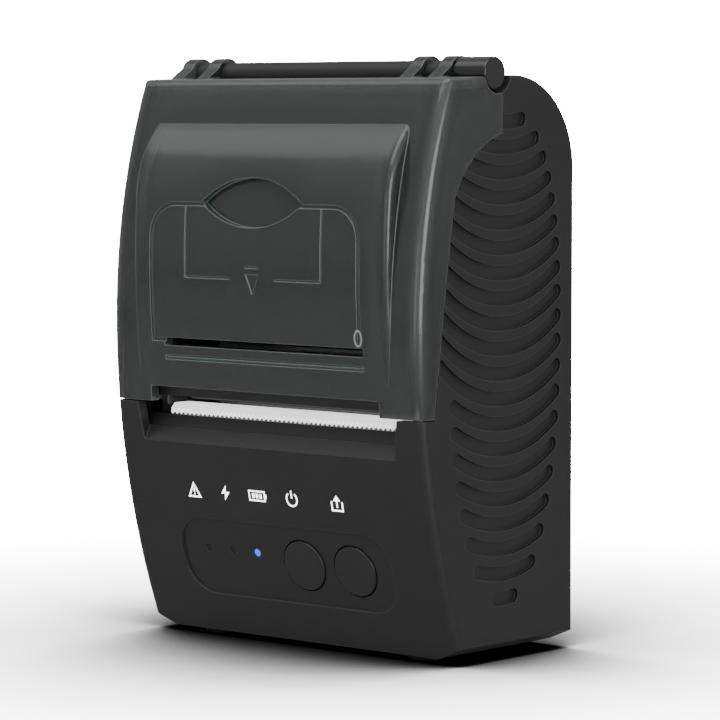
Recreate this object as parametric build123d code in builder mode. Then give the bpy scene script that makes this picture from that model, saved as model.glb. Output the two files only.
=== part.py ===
from build123d import *

import os
from math import asin, atan2, cos, degrees, pi, radians, sin, sqrt, tan

# Portable receipt printer for 58 mm paper, standing upright on its rubber feet.
# Origin: centre of the footprint on the surface it stands on. X is to the right, the front
# faces -Y and Z is up. All sizes are in millimetres.

# Paper roll: its width sets the width of the case and of everything between the side walls
roll_width = 58.6
side_room = 9.7

# Case, in side view
case_depth = 45.7
case_top = 108.9
front_top_fall = 0.6
belly_height = 62.2
lower_front_radius = 162.0
upper_front_radius = 128.0
top_rear_radius = 17.5
case_wall = 2.2
edge_radius = 2.0
back_edge_radius = 0.8
bottom_chamfer_width = 5.6
bottom_chamfer_height = 2.3

# Seam between the cover and the case, in side view; drops are measured from the case's top
seam_height = 46.4
seam_gap = 0.3
split_top_y = 1.55
split_corner_drop = 10.7
split_shoulder_y = -12.15
split_shoulder_drop = 22.5
split_shoulder_mid_y = -6.85
split_shoulder_mid_drop = 15.2
split_foot_y = -17.75
split_leg_mid_y = -15.0
split_leg_mid_rise = 21.6

# Cover: a wall with a raised middle
cover_wall = 2.0
bulge_out = 1.1
bulge_side_room = 3.0
bulge_rise = 4.8
bulge_crown_drop = 34.4
bulge_shoulder_drop = 22.4
bulge_shoulder_in = 0.5
bulge_top_drop = 9.2
bulge_top_in = 6.6
bulge_edge_radius = 1.2
cover_notch_inset = 0.3
cover_notch_height = 3.0

# Relief on the cover's front: flap outline, finger notch, guide lines, arrow and slot
flap_x = -1.0
flap_width = 53.2
flap_top_rise = 38.6
flap_corner = 6.5
flap_line = 0.7
flap_depth = 0.5
notch_x = -1.5
notch_width = 25.5
notch_rise = 38.6
notch_up = 4.8
notch_down = 4.6
notch_depth = 1.5
guide_width = 34.5
guide_foot_rise = 24.4
guide_foot_length = 11.5
guide_line = 0.3
guide_depth = 0.25
arrow_width = 3.3
arrow_length = 3.8
arrow_rise = 25.3
arrow_bar_gap = 1.3
slot_x = 0.8
slot_width = 50.4
slot_height = 1.5
slot_rise = 11.8
step_rises = (9.1, 8.5)

# Liner behind the cover's middle, which carries the roller
liner_gap = 0.3
liner_wall = 1.2
liner_corner = 8.0
liner_lip_rise = 1.0
liner_lip_y = -18.8

# Hinge
hinge_y = 0.2
hinge_rise = 0.3
pin_radius = 1.3
running_clearance = 0.05
ring_radius = 3.3
barrel_radius = 2.48
ring_width = 2.9
ring_spacing = 7.0
left_ring_inset = 0.4
right_ring_inset = 18.6
knuckle_gap = 0.3
swing_clearance = 0.4
pin_head_radius = 3.1
pin_head_inset = 0.6
pin_head_length = 7.4
pin_edge_radius = 0.4
side_notch_radius = 3.8

# Side grooves, inside a rounded field
groove_count = 20
groove_bottom = 11.7
groove_top_drop = 8.66
groove_radius = 27.0
groove_width = 2.7
groove_depth = 0.8
groove_low_y = 1.8
groove_field_y = 2.7
groove_field_lift = 0.53
groove_field_margin = 1.23
groove_field_half_width = 16.8
groove_field_power = 2.3

# Control panel on the lower front; its boards stand on posts behind it
panel_x = 0.6
panel_height = 16.4
panel_width = 53.5
panel_tall = 15.8
panel_corner = 6.5
panel_recess = 0.45
button_radius = 5.0
button_gap = 0.25
power_button_x = 5.1
feed_button_x = 17.8
button_rise = 0.1
button_travel = 0.4
button_play = 0.1
button_edge_radius = 0.4
button_seat = 0.3
button_proud = 0.2
button_flange = 0.9
flange_thickness = 0.8
button_stem_radius = 2.0
led_radius = 0.8
led_rise = 1.65
led_x = (-19.3, -13.0, -6.7)
led_width = 1.6
led_tall = 0.8
led_thickness = 0.6
pipe_gap = 0.3
pipe_play = 0.05
pipe_sink = 0.1
pipe_bar_margin = 1.5
pipe_bar_tall = 2.4
pipe_bar_thickness = 1.2
pipe_bar_offset = 0.4
board_depth = 7.2
board_thickness = 1.2
board_margin = 1.75
board_corner = 1.0
post_x = 24.0
post_rise = 5.4
post_radius = 1.5
switch_size = 6.0
switch_corner = 0.5
switch_body = 1.9
plunger_radius = 1.7
plunger_tall = 0.7

# Finger recess under the cover's lower edge; drops are measured from the seam
scoop_drop = 7.7
scoop_top_drop = 2.8
scoop_lip_y = -17.2
scoop_side_low = 2.5
scoop_side_high = 3.9
scoop_wall = 1.5

# Paper tub
tub_radius = 20.4
tub_y = -0.7
tub_drop = 27.7
tub_wall = 1.2
tub_lip_angle = 258.0
tub_cheek_front = -8.5
tub_cheek_drop = 8.9
tub_cheek_slope = 10.0
tub_cheek_low = 12.0
tub_top_gap = 1.0
tub_floor_lip = 0.4
tub_front_lip = 0.2
rail_gap = 0.3
rail_lift = 4.0

# Platen roller; its height is measured from the seam
platen_y = -10.3
platen_rise = 4.3
platen_radius = 4.6
platen_end_room = 1.7
platen_edge_radius = 0.3
shaft_radius = 1.5
shaft_end = 1.0
bushing_radius = 3.0
bushing_end = 0.4
bushing_fit = 0.02
lug_side_room = 1.1
lug_thickness = 1.8
lug_radius = 4.3
lug_root_rise = 9.3
lug_chin = 2.0

# Print mechanism; heights are measured from the roller's axis
frame_side_room = 2.5
frame_plate = 1.5
frame_drop = 10.7
frame_rise = 6.8
frame_front_y = -14.2
frame_back_y = 15.5
frame_heel = 4.0
frame_sheet = 1.2
cross_wall_y = 1.2
cross_wall_drop = 1.5
tab_half_depth = 7.0
tab_clearance = 0.3
ledge_half_depth = 8.0
ledge_thickness = 3.0
ledge_gap = 0.4
notch_clearance = 0.3
notch_flare = 6.0
gear_module = 0.5
pressure_angle = 20.0
tooth_share = 0.42
addendum = 0.9
dedendum = 1.25
platen_teeth = 20
idler_teeth = 24
pinion_teeth = 12
gear_width = 1.7
gear_side_gap = 1.3
axle_rim = 0.8
axle_play = 0.1
motor_radius = 6.0
motor_length = 14.0
motor_cap = 1.5
motor_edge_radius = 0.5
motor_direction = 18.0
motor_shaft_radius = 1.0
motor_shaft_hole = 1.6
motor_shaft_end = 2.0
head_gap = 0.3
head_side_room = 2.3
ceramic_thickness = 1.0
ceramic_height = 11.0
ceramic_drop = 5.2
ceramic_inset = 0.5
sink_thickness = 1.8
sink_drop = 7.7
sink_height = 14.0
head_pivot_radius = 1.0
head_pivot_drop = 6.5
head_pin_root = 0.5
head_pin_play = 0.2
spring_half_width = 6.0
spring_sheet = 0.5
spring_foot = 5.0
spring_reach = 11.5
spring_gap = 0.5

# Tear bar
bar_side_room = 0.7
bar_sheet = 0.6
bar_bend_y = -15.6
bar_drop = 0.7
bar_flange = 4.0
bar_slope = 46.0
bar_strip = 1.3
tooth_count = 50
tooth_depth = 1.0

# Rear shell, battery and its door
rear_side_inset = 2.8
rear_bottom = 5.6
rear_top_drop = 0.8
rear_gap = 0.2
battery_width = 48.0
battery_height = 31.0
battery_thickness = 12.5
battery_bottom = 10.0
battery_gap = 0.4
battery_corner = 3.0
bay_wall = 1.2
door_margin = 1.6
door_thickness = 1.8
door_gap = 0.3
door_play = 0.1
grip_count = 3
grip_pitch = 2.2
grip_drop = 4.0
grip_width = 18.0
grip_tall = 1.0
grip_depth = 0.4

# Screws of the rear shell and the bosses that they turn into
boss_inset = 5.6
boss_end_inset = 4.5
boss_radius = 2.6
boss_length = 9.0
boss_floor = 1.5
boss_web = 1.5
screw_radius = 1.1
screw_length = 7.0
screw_fit = 0.05
screw_hole_gap = 0.2
screw_head_radius = 1.9
screw_head = 1.2
screw_sink = 0.3
screw_socket_radius = 0.66

# Main board with its parts: place across, height on the board, width, height and depth
main_board_y = 2.0
main_board_bottom = 7.0
main_board_height = 30.0
main_board_side_gap = 3.4
board_rib_width = 2.0
board_rib_thickness = 1.2
board_rib_end = 3.5
processor = (6.0, 13.0, 9.0, 9.0, 1.2)
motor_driver = (-9.0, 19.0, 6.0, 6.0, 1.0)
radio = (22.0, 8.0, 5.0, 7.0, 1.6)
head_connector = (10.0, 25.5, 20.0, 3.0, 2.0)
battery_connector = (-16.0, 4.0, 10.0, 4.0, 2.4)

# Charge socket in the left side
socket_height = 24.0
socket_y = -2.6
socket_wide = 9.0
socket_tall = 3.2
socket_deep = 7.4
socket_wall = 0.3
socket_floor = 1.0
socket_inset = 0.6
socket_gap = 0.3
socket_tongue = 0.7
socket_tongue_wide = 6.4
socket_pad_margin = 3.0

# Feet
foot_height = 1.2
foot_radius = 3.6
foot_recess = 0.6
foot_gap = 0.1
foot_edge_radius = 0.4
foot_inset = 13.0
front_foot_y = -4.6
rear_foot_y = 17.6

# How far the blocks of one solid run into each other, and how far a cut runs past a face
weld = 0.1
past = 1.0

# Values worked out from the sizes above: outside of the case
case_width = roll_width + 2 * side_room
half_roll = roll_width / 2
half_width = case_width / 2
inner_half_width = half_width - case_wall
back_y = (case_depth + bulge_out) / 2
belly_y = back_y - case_depth
front_top_height = case_top - front_top_fall
top_arc_y = back_y - top_rear_radius
top_arc_height = case_top - top_rear_radius
reach = case_width + case_top
split_corner_height = case_top - split_corner_drop
split_shoulder_height = case_top - split_shoulder_drop
split_shoulder_mid_height = case_top - split_shoulder_mid_drop
split_leg_mid_height = seam_height + split_leg_mid_rise

# Cover
bulge_y = belly_y - bulge_out
bulge_width = roll_width + 2 * bulge_side_room
bulge_bottom = seam_height + bulge_rise
bulge_crown_height = case_top - bulge_crown_drop
bulge_shoulder_height = case_top - bulge_shoulder_drop
bulge_top = case_top - bulge_top_drop
cover_notch_width = roll_width - 2 * cover_notch_inset
liner_width = bulge_width - 2 * cover_wall - 2 * liner_gap
liner_top = bulge_top - cover_wall - liner_gap
liner_lip_height = seam_height + liner_lip_rise
slot_middle = seam_height + slot_rise

# Hinge
hinge_height = case_top + hinge_rise
left_ring_x = left_ring_inset - half_width
right_ring_x = half_width - right_ring_inset
pin_head_start = half_width - pin_head_inset - pin_head_length

# Grooves and finger recess
groove_top = case_top - groove_top_drop
groove_pitch = (groove_top - groove_bottom) / (groove_count - 1)
groove_field_height = (groove_bottom + groove_top) / 2 + groove_field_lift
groove_field_half_height = (groove_top - groove_bottom) / 2 + groove_field_margin
scoop_bottom = seam_height - scoop_drop
scoop_top = seam_height - scoop_top_drop
scoop_half_width_low = half_roll + scoop_side_low
scoop_half_width_high = half_roll + scoop_side_high

# Mechanism, tear bar and paper tub
platen_height = seam_height + platen_rise
platen_length = roll_width - 2 * platen_end_room
lug_inner_x = half_roll - lug_side_room
frame_inner_x = half_roll + frame_side_room
frame_outer_x = frame_inner_x + frame_plate
frame_bottom = platen_height - frame_drop
frame_top = platen_height + frame_rise
head_half_width = half_roll - head_side_room
ceramic_bottom = platen_height - ceramic_drop
sink_bottom = platen_height - sink_drop
head_pivot_height = platen_height - head_pivot_drop
head_front_y = platen_y + platen_radius + head_gap
sink_front = head_front_y + ceramic_thickness
sink_back = sink_front + sink_thickness
head_pivot_y = sink_front + sink_thickness / 2
bar_width = roll_width - 2 * bar_side_room
bar_top = seam_height - bar_drop
tub_height = case_top - tub_drop
tub_half = half_roll + tub_wall
tub_top_y = split_top_y + seam_gap + tub_top_gap
tub_cheek_top = case_top - tub_cheek_drop

# Rear shell, battery bay, boards and feet
rear_half_width = half_width - rear_side_inset
rear_top = top_arc_height - rear_top_drop
boss_x = half_width - boss_inset
boss_places = [
    (x, height)
    for x in (-boss_x, boss_x)
    for height in (rear_bottom + boss_end_inset, rear_top - boss_end_inset)
]
bay_half = battery_width / 2 + battery_gap
bay_low = battery_bottom - battery_gap
bay_high = battery_bottom + battery_height + battery_gap
bay_floor = back_y - door_thickness - battery_gap - battery_thickness - battery_gap
door_half = bay_half + door_margin
door_low = bay_low - door_margin
door_high = bay_high + door_margin
door_pivot_y = back_y - door_thickness / 2
door_pivot_height = door_low + door_thickness / 2
main_board_half_width = inner_half_width - main_board_side_gap
button_places = [(x - panel_x, button_rise) for x in (power_button_x, feed_button_x)]
led_places = [(x - panel_x, led_rise) for x in led_x]
foot_x = half_width - foot_inset
foot_places = [(x, y) for x in (-foot_x, foot_x) for y in (front_foot_y, rear_foot_y)]


def front_y(height, inset=0.0):
    """Y of the front curve at a height, moved in by an inset."""
    radius = upper_front_radius if height > belly_height else lower_front_radius
    return belly_y + radius - sqrt((radius - inset) ** 2 - (height - belly_height) ** 2)


def case_profile(inset):
    """Side view of the closed printer: two front arcs, the top, the rear corner and the back."""
    low = foot_height + inset
    high = front_top_height - inset
    low_mid = (low + belly_height) / 2
    high_mid = (high + belly_height) / 2
    corner = (top_rear_radius - inset) * sin(radians(45))
    with BuildSketch(Plane.YZ) as profile:
        with BuildLine():
            ThreePointArc(
                (front_y(low, inset), low),
                (front_y(low_mid, inset), low_mid),
                (belly_y + inset, belly_height),
            )
            ThreePointArc(
                (belly_y + inset, belly_height),
                (front_y(high_mid, inset), high_mid),
                (front_y(high, inset), high),
            )
            Line((front_y(high, inset), high), (top_arc_y, case_top - inset))
            ThreePointArc(
                (top_arc_y, case_top - inset),
                (top_arc_y + corner, top_arc_height + corner),
                (back_y - inset, top_arc_height),
            )
            Polyline(
                (back_y - inset, top_arc_height),
                (back_y - inset, low),
                (front_y(low, inset), low),
            )
        make_face()
    return profile.sketch


def cover_region(gap):
    """Side view of the space in front of the split line, where the cover lies."""
    foot = (split_foot_y + gap, seam_height - gap)
    leg_mid = (split_leg_mid_y + gap, split_leg_mid_height)
    shoulder = (split_shoulder_y + gap, split_shoulder_height)
    shoulder_mid = (split_shoulder_mid_y + gap, split_shoulder_mid_height)
    corner = (split_top_y + gap, split_corner_height)
    with BuildSketch(Plane.YZ) as region:
        with BuildLine():
            ThreePointArc(foot, leg_mid, shoulder)
            ThreePointArc(shoulder, shoulder_mid, corner)
            Polyline(
                corner,
                (split_top_y + gap, reach),
                (-reach, reach),
                (-reach, seam_height - gap),
                foot,
            )
        make_face()
    return region.sketch


def bulge_profile(inset):
    """Side view of the raised middle of the cover, which makes room for the paper roll."""
    bottom_y = front_y(bulge_bottom) + inset
    crown_y = bulge_y + inset
    shoulder = (crown_y + bulge_shoulder_in, bulge_shoulder_height)
    top_y = bulge_y + bulge_top_in + inset
    top = bulge_top - inset
    with BuildSketch(Plane.YZ) as profile:
        with BuildLine():
            swell = ThreePointArc(
                (bottom_y, bulge_bottom), (crown_y, bulge_crown_height), shoulder
            )
            TangentArc(shoulder, (top_y, top), tangent=swell % 1)
            Polyline(
                (top_y, top),
                (platen_y, top),
                (platen_y, bulge_bottom),
                (bottom_y, bulge_bottom),
            )
        make_face()
    return profile.sketch


def scoop_form():
    """The space of the finger recess, wider at its top and sloping in towards the tear bar."""
    with BuildSketch(Plane.XZ) as front_view:
        with BuildLine():
            Polyline(
                (-scoop_half_width_low, scoop_bottom),
                (scoop_half_width_low, scoop_bottom),
                (scoop_half_width_high, seam_height + past),
                (-scoop_half_width_high, seam_height + past),
                close=True,
            )
        make_face()
    with BuildSketch(Plane.YZ) as side_view:
        with BuildLine():
            Polyline(
                (front_y(scoop_bottom), scoop_bottom),
                (scoop_lip_y, scoop_top),
                (scoop_lip_y + 3 * scoop_wall, scoop_top),
                (scoop_lip_y + 3 * scoop_wall, seam_height + past),
                (-reach, seam_height + past),
                (-reach, scoop_bottom),
                close=True,
            )
        make_face()
    across = extrude(front_view.sketch, amount=reach, both=True)
    return across & extrude(side_view.sketch, amount=reach, both=True)


def bulge_form(inset):
    """The raised middle of the cover as a solid block, with its rims rounded outside."""
    with BuildPart() as block:
        extrude(bulge_profile(inset), amount=bulge_width / 2 - inset, both=True)
        if inset == 0:
            fillet(block.edges().filter_by(GeomType.CIRCLE), bulge_edge_radius)
    return block.part


def flap_outline():
    """Front view of the groove round the flap, with its upper corners rounded."""
    low = slot_middle
    high = seam_height + flap_top_rise
    with BuildSketch() as outline:
        with Locations((flap_x, (low + high) / 2)):
            Rectangle(flap_width, high - low)
        fillet(outline.vertices().group_by(Axis.Y)[-1], flap_corner)
        offset(outline.sketch, amount=-flap_line, mode=Mode.SUBTRACT)
    return outline.sketch


def finger_notch():
    """Front view of the lens-shaped notch that a fingertip reaches into."""
    level = seam_height + notch_rise
    left = (notch_x - notch_width / 2, level)
    right = (notch_x + notch_width / 2, level)
    with BuildSketch() as lens:
        with BuildLine():
            ThreePointArc(left, (notch_x, level + notch_up), right)
            ThreePointArc(right, (notch_x, level - notch_down), left)
        make_face()
    return lens.sketch


def guide_marks():
    """Front view of the paper guide's fine lines, with the arrow between their lower ends."""
    low = seam_height + guide_foot_rise
    high = seam_height + flap_top_rise - flap_line
    tip = seam_height + arrow_rise - arrow_length
    with BuildSketch() as marks:
        for side in (-1, 1):
            edge = flap_x + side * guide_width / 2
            with Locations((edge, (low + high) / 2)):
                Rectangle(guide_line, high - low)
            with Locations((edge - side * guide_foot_length / 2, low)):
                Rectangle(guide_foot_length, guide_line)
        for rise in step_rises:
            with Locations((slot_x, seam_height + rise)):
                Rectangle(slot_width, guide_line)
        with Locations((flap_x, seam_height + arrow_rise + arrow_bar_gap)):
            Rectangle(arrow_width, guide_line)
        with BuildLine():
            Polyline(
                (flap_x - arrow_width / 2, tip + arrow_length),
                (flap_x + arrow_width / 2, tip + arrow_length),
                (flap_x, tip),
                close=True,
            )
        make_face()
    return marks.sketch


def slot_outline():
    """Front view of the slot under the flap."""
    with BuildSketch() as slot:
        with Locations((slot_x, slot_middle)):
            Rectangle(slot_width, slot_height)
    return slot.sketch


def engraving(front_view, depth):
    """The space that a front view takes out of the cover's raised middle, down to a depth."""
    behind = Plane.XZ.offset(-platen_y)
    return extrude(behind * front_view, amount=reach, dir=(0, -1, 0)) - bulge_form(depth)


def outer_form():
    """The closed printer as one solid block, with its rounded and chamfered edges."""
    with BuildPart() as block:
        extrude(case_profile(0), amount=half_width, both=True)
        sides = block.edges().filter_by(lambda e: abs(abs(e.center().X) - half_width) < 0.01)
        fronts = sides.filter_by(GeomType.CIRCLE).filter_by(
            lambda e: e.radius > top_rear_radius + case_wall
        )
        brow = block.edges().filter_by(Axis.X).sort_by(Axis.Z)[-3:].sort_by(Axis.Y)[0]
        fillet(fronts.edges() + ShapeList([brow]), edge_radius)
        backs = block.edges().filter_by(
            lambda e: abs(abs(e.center().X) - half_width) < 0.01 and e.center().Y > top_arc_y
        )
        backs = backs.filter_by(lambda e: e.center().Z > foot_height + 0.01)
        fillet(backs, back_edge_radius)
        with BuildSketch(Plane.XZ) as corners:
            for side in (-1, 1):
                with BuildLine():
                    Polyline(
                        (side * (half_width - bottom_chamfer_width), foot_height),
                        (side * (half_width + past), foot_height - past),
                        (side * (half_width + past), foot_height + bottom_chamfer_height),
                        (side * half_width, foot_height + bottom_chamfer_height),
                        close=True,
                    )
                make_face()
        extrude(amount=reach, both=True, mode=Mode.SUBTRACT)
    return block.part


def liner_skin(inset):
    """Side view of everything behind the liner's front surface, moved in by an inset."""
    shift = cover_wall + liner_gap + inset
    with BuildSketch(Plane.YZ) as skin:
        with BuildLine():
            swell = ThreePointArc(
                (front_y(bulge_bottom) + shift, bulge_bottom),
                (bulge_y + shift, bulge_crown_height),
                (bulge_y + bulge_shoulder_in + shift, bulge_shoulder_height),
            )
            brow = TangentArc(
                (bulge_y + bulge_shoulder_in + shift, bulge_shoulder_height),
                (bulge_y + bulge_top_in + shift, liner_top),
                tangent=swell % 1,
            )
            Polyline(
                brow @ 1,
                (reach, liner_top),
                (reach, liner_lip_height),
                (liner_lip_y + inset, liner_lip_height),
                (front_y(bulge_bottom) + shift, bulge_bottom),
            )
        make_face()
    return skin.sketch


def liner_root_y(height):
    """Y of the middle of the liner's wall at a height below the raised middle's crown."""
    return front_y(height) + cover_wall + liner_gap + liner_wall / 2


def trough(inset):
    """Side view of the paper tub: floor arc, rear wall and curved top, moved in by an inset."""
    radius = tub_radius + tub_wall - inset
    rear = tub_y + radius
    lip = radians(tub_lip_angle)
    mid = radians((tub_lip_angle + 360) / 2)
    lip_point = (tub_y + radius * cos(lip), tub_height + radius * sin(lip))
    top_radius = rear - top_arc_y
    top = top_arc_height + top_radius
    knee = top_radius * sin(radians(45))
    with BuildSketch(Plane.YZ) as side_view:
        with BuildLine():
            ThreePointArc(
                lip_point,
                (tub_y + radius * cos(mid), tub_height + radius * sin(mid)),
                (rear, tub_height),
            )
            Line((rear, tub_height), (rear, top_arc_height))
            ThreePointArc(
                (rear, top_arc_height),
                (top_arc_y + knee, top_arc_height + knee),
                (top_arc_y, top),
            )
            Polyline(
                (top_arc_y, top),
                (tub_top_y, top),
                (tub_top_y, tub_cheek_top),
                (tub_cheek_front, tub_cheek_top - tub_cheek_slope),
                (tub_cheek_front, tub_height - tub_cheek_low),
                lip_point,
            )
        make_face()
    return side_view.sketch


def panel_plane(depth=0.0):
    """Plane of the control panel, tangent to the lower front, moved in by a depth."""
    tilt = asin((belly_height - panel_height) / lower_front_radius)
    outward = Vector(0, -cos(tilt), -sin(tilt))
    origin = Vector(panel_x, front_y(panel_height), panel_height) - outward * depth
    return Plane(origin, x_dir=(1, 0, 0), z_dir=outward)


def x_cylinder(radius, start, end, y=hinge_y, z=hinge_height, mode=Mode.ADD):
    """A cylinder along X between two stations."""
    with BuildSketch(Plane.YZ.offset(start)) as disc:
        with Locations((y, z)):
            Circle(radius)
    extrude(disc.sketch, amount=end - start, mode=mode)


def block_between(x_span, y_span, z_span, mode=Mode.ADD):
    """A rectangular block given by its limits along X, Y and Z."""
    with BuildSketch(Plane.XY.offset(z_span[0])) as floor:
        with Locations(((x_span[0] + x_span[1]) / 2, (y_span[0] + y_span[1]) / 2)):
            Rectangle(x_span[1] - x_span[0], y_span[1] - y_span[0])
    extrude(floor.sketch, amount=z_span[1] - z_span[0], mode=mode)


def gear_face(teeth, phase, y, z, plane):
    """Side view of a small spur gear with straight-flanked teeth; phase is one tooth's angle."""
    pitch_radius = gear_module * teeth / 2
    tip = pitch_radius + addendum * gear_module
    root = pitch_radius - dedendum * gear_module
    half_tooth = tooth_share * gear_module * pi / 2
    flank = tan(radians(pressure_angle))
    tip_half = degrees((half_tooth - (tip - pitch_radius) * flank) / tip)
    root_half = degrees((half_tooth + (pitch_radius - root) * flank) / root)
    points = []
    for tooth in range(teeth):
        middle = phase + tooth * 360 / teeth
        for radius, offset in (
            (root, -root_half),
            (tip, -tip_half),
            (tip, tip_half),
            (root, root_half),
        ):
            angle = radians(middle + offset)
            points.append((y + radius * cos(angle), z + radius * sin(angle)))
    with BuildSketch(plane) as face:
        with BuildLine():
            Polyline(*points, close=True)
        make_face()
    return face.sketch


# Where the cover's rings and the case's barrels lie along the hinge
ring_spans = [
    (start, start + ring_width)
    for start in (
        left_ring_x,
        left_ring_x + ring_spacing,
        right_ring_x,
        right_ring_x + ring_spacing,
    )
]
barrel_spans = [
    (left[1] + knuckle_gap, right[0] - knuckle_gap)
    for left, right in zip(ring_spans, ring_spans[1:])
]

# The roller leaves its seat along this direction when the cover starts to open
exit_length = sqrt((hinge_y - platen_y) ** 2 + (hinge_height - platen_height) ** 2)
exit_direction = (
    (platen_height - hinge_height) / exit_length,
    (hinge_y - platen_y) / exit_length,
)
platen_pitch = gear_module * platen_teeth / 2
idler_pitch = gear_module * idler_teeth / 2
pinion_pitch = gear_module * pinion_teeth / 2
idler_y = platen_y - exit_direction[0] * (platen_pitch + idler_pitch)
idler_height = platen_height - exit_direction[1] * (platen_pitch + idler_pitch)
pinion_y = idler_y + (idler_pitch + pinion_pitch) * cos(radians(motor_direction))
pinion_height = idler_height + (idler_pitch + pinion_pitch) * sin(radians(motor_direction))
mesh_angle = degrees(atan2(-exit_direction[1], -exit_direction[0]))
idler_phase = mesh_angle + 180 + 180 / idler_teeth
idler_lead = (idler_phase - motor_direction) % (360 / idler_teeth)
pinion_phase = motor_direction + 180 - idler_lead * idler_teeth / pinion_teeth + 180 / pinion_teeth
gear_inner_x = frame_outer_x + gear_side_gap
gear_outer_x = gear_inner_x + gear_width

os.makedirs("parts", exist_ok=True)
outer_block = outer_form()
scoop_space = scoop_form()
bulge_outside = bulge_form(0)
bulge_inside = bulge_form(cover_wall)
relief = [
    engraving(flap_outline(), flap_depth),
    engraving(finger_notch(), notch_depth),
    engraving(guide_marks(), guide_depth),
    engraving(slot_outline(), 2 * cover_wall),
]

# Case: front, sides, bottom, top rear corner and the rim of the back
with BuildPart() as main_case:
    add(outer_block)
    extrude(case_profile(case_wall), amount=inner_half_width, both=True, mode=Mode.SUBTRACT)
    extrude(cover_region(seam_gap), amount=reach, both=True, mode=Mode.SUBTRACT)
    block_between(
        (-rear_half_width, rear_half_width),
        (back_y - case_wall - past, back_y + past),
        (rear_bottom, rear_top),
        mode=Mode.SUBTRACT,
    )
    # Backing of the finger recess
    with BuildSketch(Plane.YZ):
        with BuildLine():
            Polyline(
                (front_y(scoop_bottom - case_wall, case_wall / 2), scoop_bottom - case_wall),
                (front_y(scoop_bottom, case_wall / 2), scoop_bottom),
                (scoop_lip_y, scoop_top),
                (scoop_lip_y + scoop_wall, scoop_top),
                (front_y(scoop_bottom, case_wall) + scoop_wall, scoop_bottom - case_wall),
                close=True,
            )
        make_face()
    extrude(amount=scoop_half_width_high + scoop_wall, both=True)
    # Hinge barrels on a web that grows out of the top
    for span in barrel_spans:
        with BuildSketch(Plane.YZ.offset(span[0])):
            with Locations((hinge_y, hinge_height)):
                Circle(barrel_radius)
            with BuildLine():
                Polyline(
                    (hinge_y, hinge_height - barrel_radius),
                    (hinge_y + 2 * barrel_radius, case_top - case_wall),
                    (hinge_y + 2 * barrel_radius, case_top),
                    (hinge_y, case_top),
                    close=True,
                )
            make_face()
        extrude(amount=span[1] - span[0])
    # Room for the cover's rings and the head of the hinge pin
    for span in ring_spans:
        x_cylinder(
            ring_radius + swing_clearance,
            span[0] - knuckle_gap,
            span[1] + knuckle_gap,
            mode=Mode.SUBTRACT,
        )
    x_cylinder(side_notch_radius, ring_spans[-1][1], reach, mode=Mode.SUBTRACT)
    x_cylinder(side_notch_radius, -reach, ring_spans[0][0], mode=Mode.SUBTRACT)
    x_cylinder(pin_radius + running_clearance, -reach, reach, mode=Mode.SUBTRACT)
    # Finger recess, wider at its top, sloping in towards the tear bar
    add(scoop_space, mode=Mode.SUBTRACT)
    # Control panel: shallow recess, button holes, indicator holes and board posts
    with BuildSketch(panel_plane(board_depth)):
        for side in (-1, 1):
            for level in (-1, 1):
                with Locations((side * post_x, level * post_rise)):
                    Circle(post_radius)
    extrude(amount=board_depth - case_wall + weld)
    with BuildSketch(panel_plane(panel_recess)):
        RectangleRounded(panel_width, panel_tall, panel_corner)
    extrude(amount=2 * case_wall, mode=Mode.SUBTRACT)
    with BuildSketch(panel_plane(2 * case_wall)):
        with Locations(*button_places):
            Circle(button_radius + button_gap)
        with Locations(*led_places):
            Circle(led_radius)
    extrude(amount=4 * case_wall, mode=Mode.SUBTRACT)
    # Smile-shaped grooves on both sides; the left side stays plain around the charge socket
    for side in (-1, 1):
        with BuildSketch(Plane.YZ.offset(side * half_width)):
            for row in range(groove_count):
                low = groove_bottom + row * groove_pitch
                spread = abs(low - groove_field_height) / groove_field_half_height
                half = groove_field_half_width * (1 - spread**groove_field_power) ** (
                    1 / groove_field_power
                )
                rear = groove_field_y + half - groove_width / 2 - groove_low_y
                front = groove_field_y - half + groove_width / 2 - groove_low_y
                if low > seam_height:
                    front = groove_field_y - groove_field_half_width - case_wall - groove_low_y
                arc = Edge.make_circle(
                    groove_radius,
                    Plane((groove_low_y, low + groove_radius, 0)),
                    270 + degrees(asin(front / groove_radius)),
                    270 + degrees(asin(rear / groove_radius)),
                )
                SlotArc(arc, groove_width)
            if side < 0:
                with Locations((socket_y, socket_height)):
                    RectangleRounded(
                        socket_tall + 2 * socket_pad_margin,
                        socket_wide + 2 * socket_pad_margin,
                        socket_pad_margin,
                        mode=Mode.SUBTRACT,
                    )
        extrude(amount=-side * groove_depth, mode=Mode.SUBTRACT)
    # Opening for the charge socket in the left side
    with BuildSketch(Plane.YZ.offset(-half_width)):
        with Locations((socket_y, socket_height)):
            SlotOverall(socket_wide + 2 * socket_gap, socket_tall + 2 * socket_gap, rotation=90)
    extrude(amount=case_wall, mode=Mode.SUBTRACT)
    # Ledges that the print mechanism stands on, ribs that the main board leans on
    for side in (-1, 1):
        wall_x = side * (inner_half_width + weld)
        block_between(
            sorted((side * (frame_outer_x + ledge_gap), wall_x)),
            (-ledge_half_depth, ledge_half_depth),
            (frame_bottom - ledge_thickness, frame_bottom),
        )
        block_between(
            sorted((side * (main_board_half_width - board_rib_width), wall_x)),
            (main_board_y - board_rib_thickness, main_board_y),
            (
                main_board_bottom + board_rib_end,
                main_board_bottom + main_board_height - board_rib_end,
            ),
        )
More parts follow.
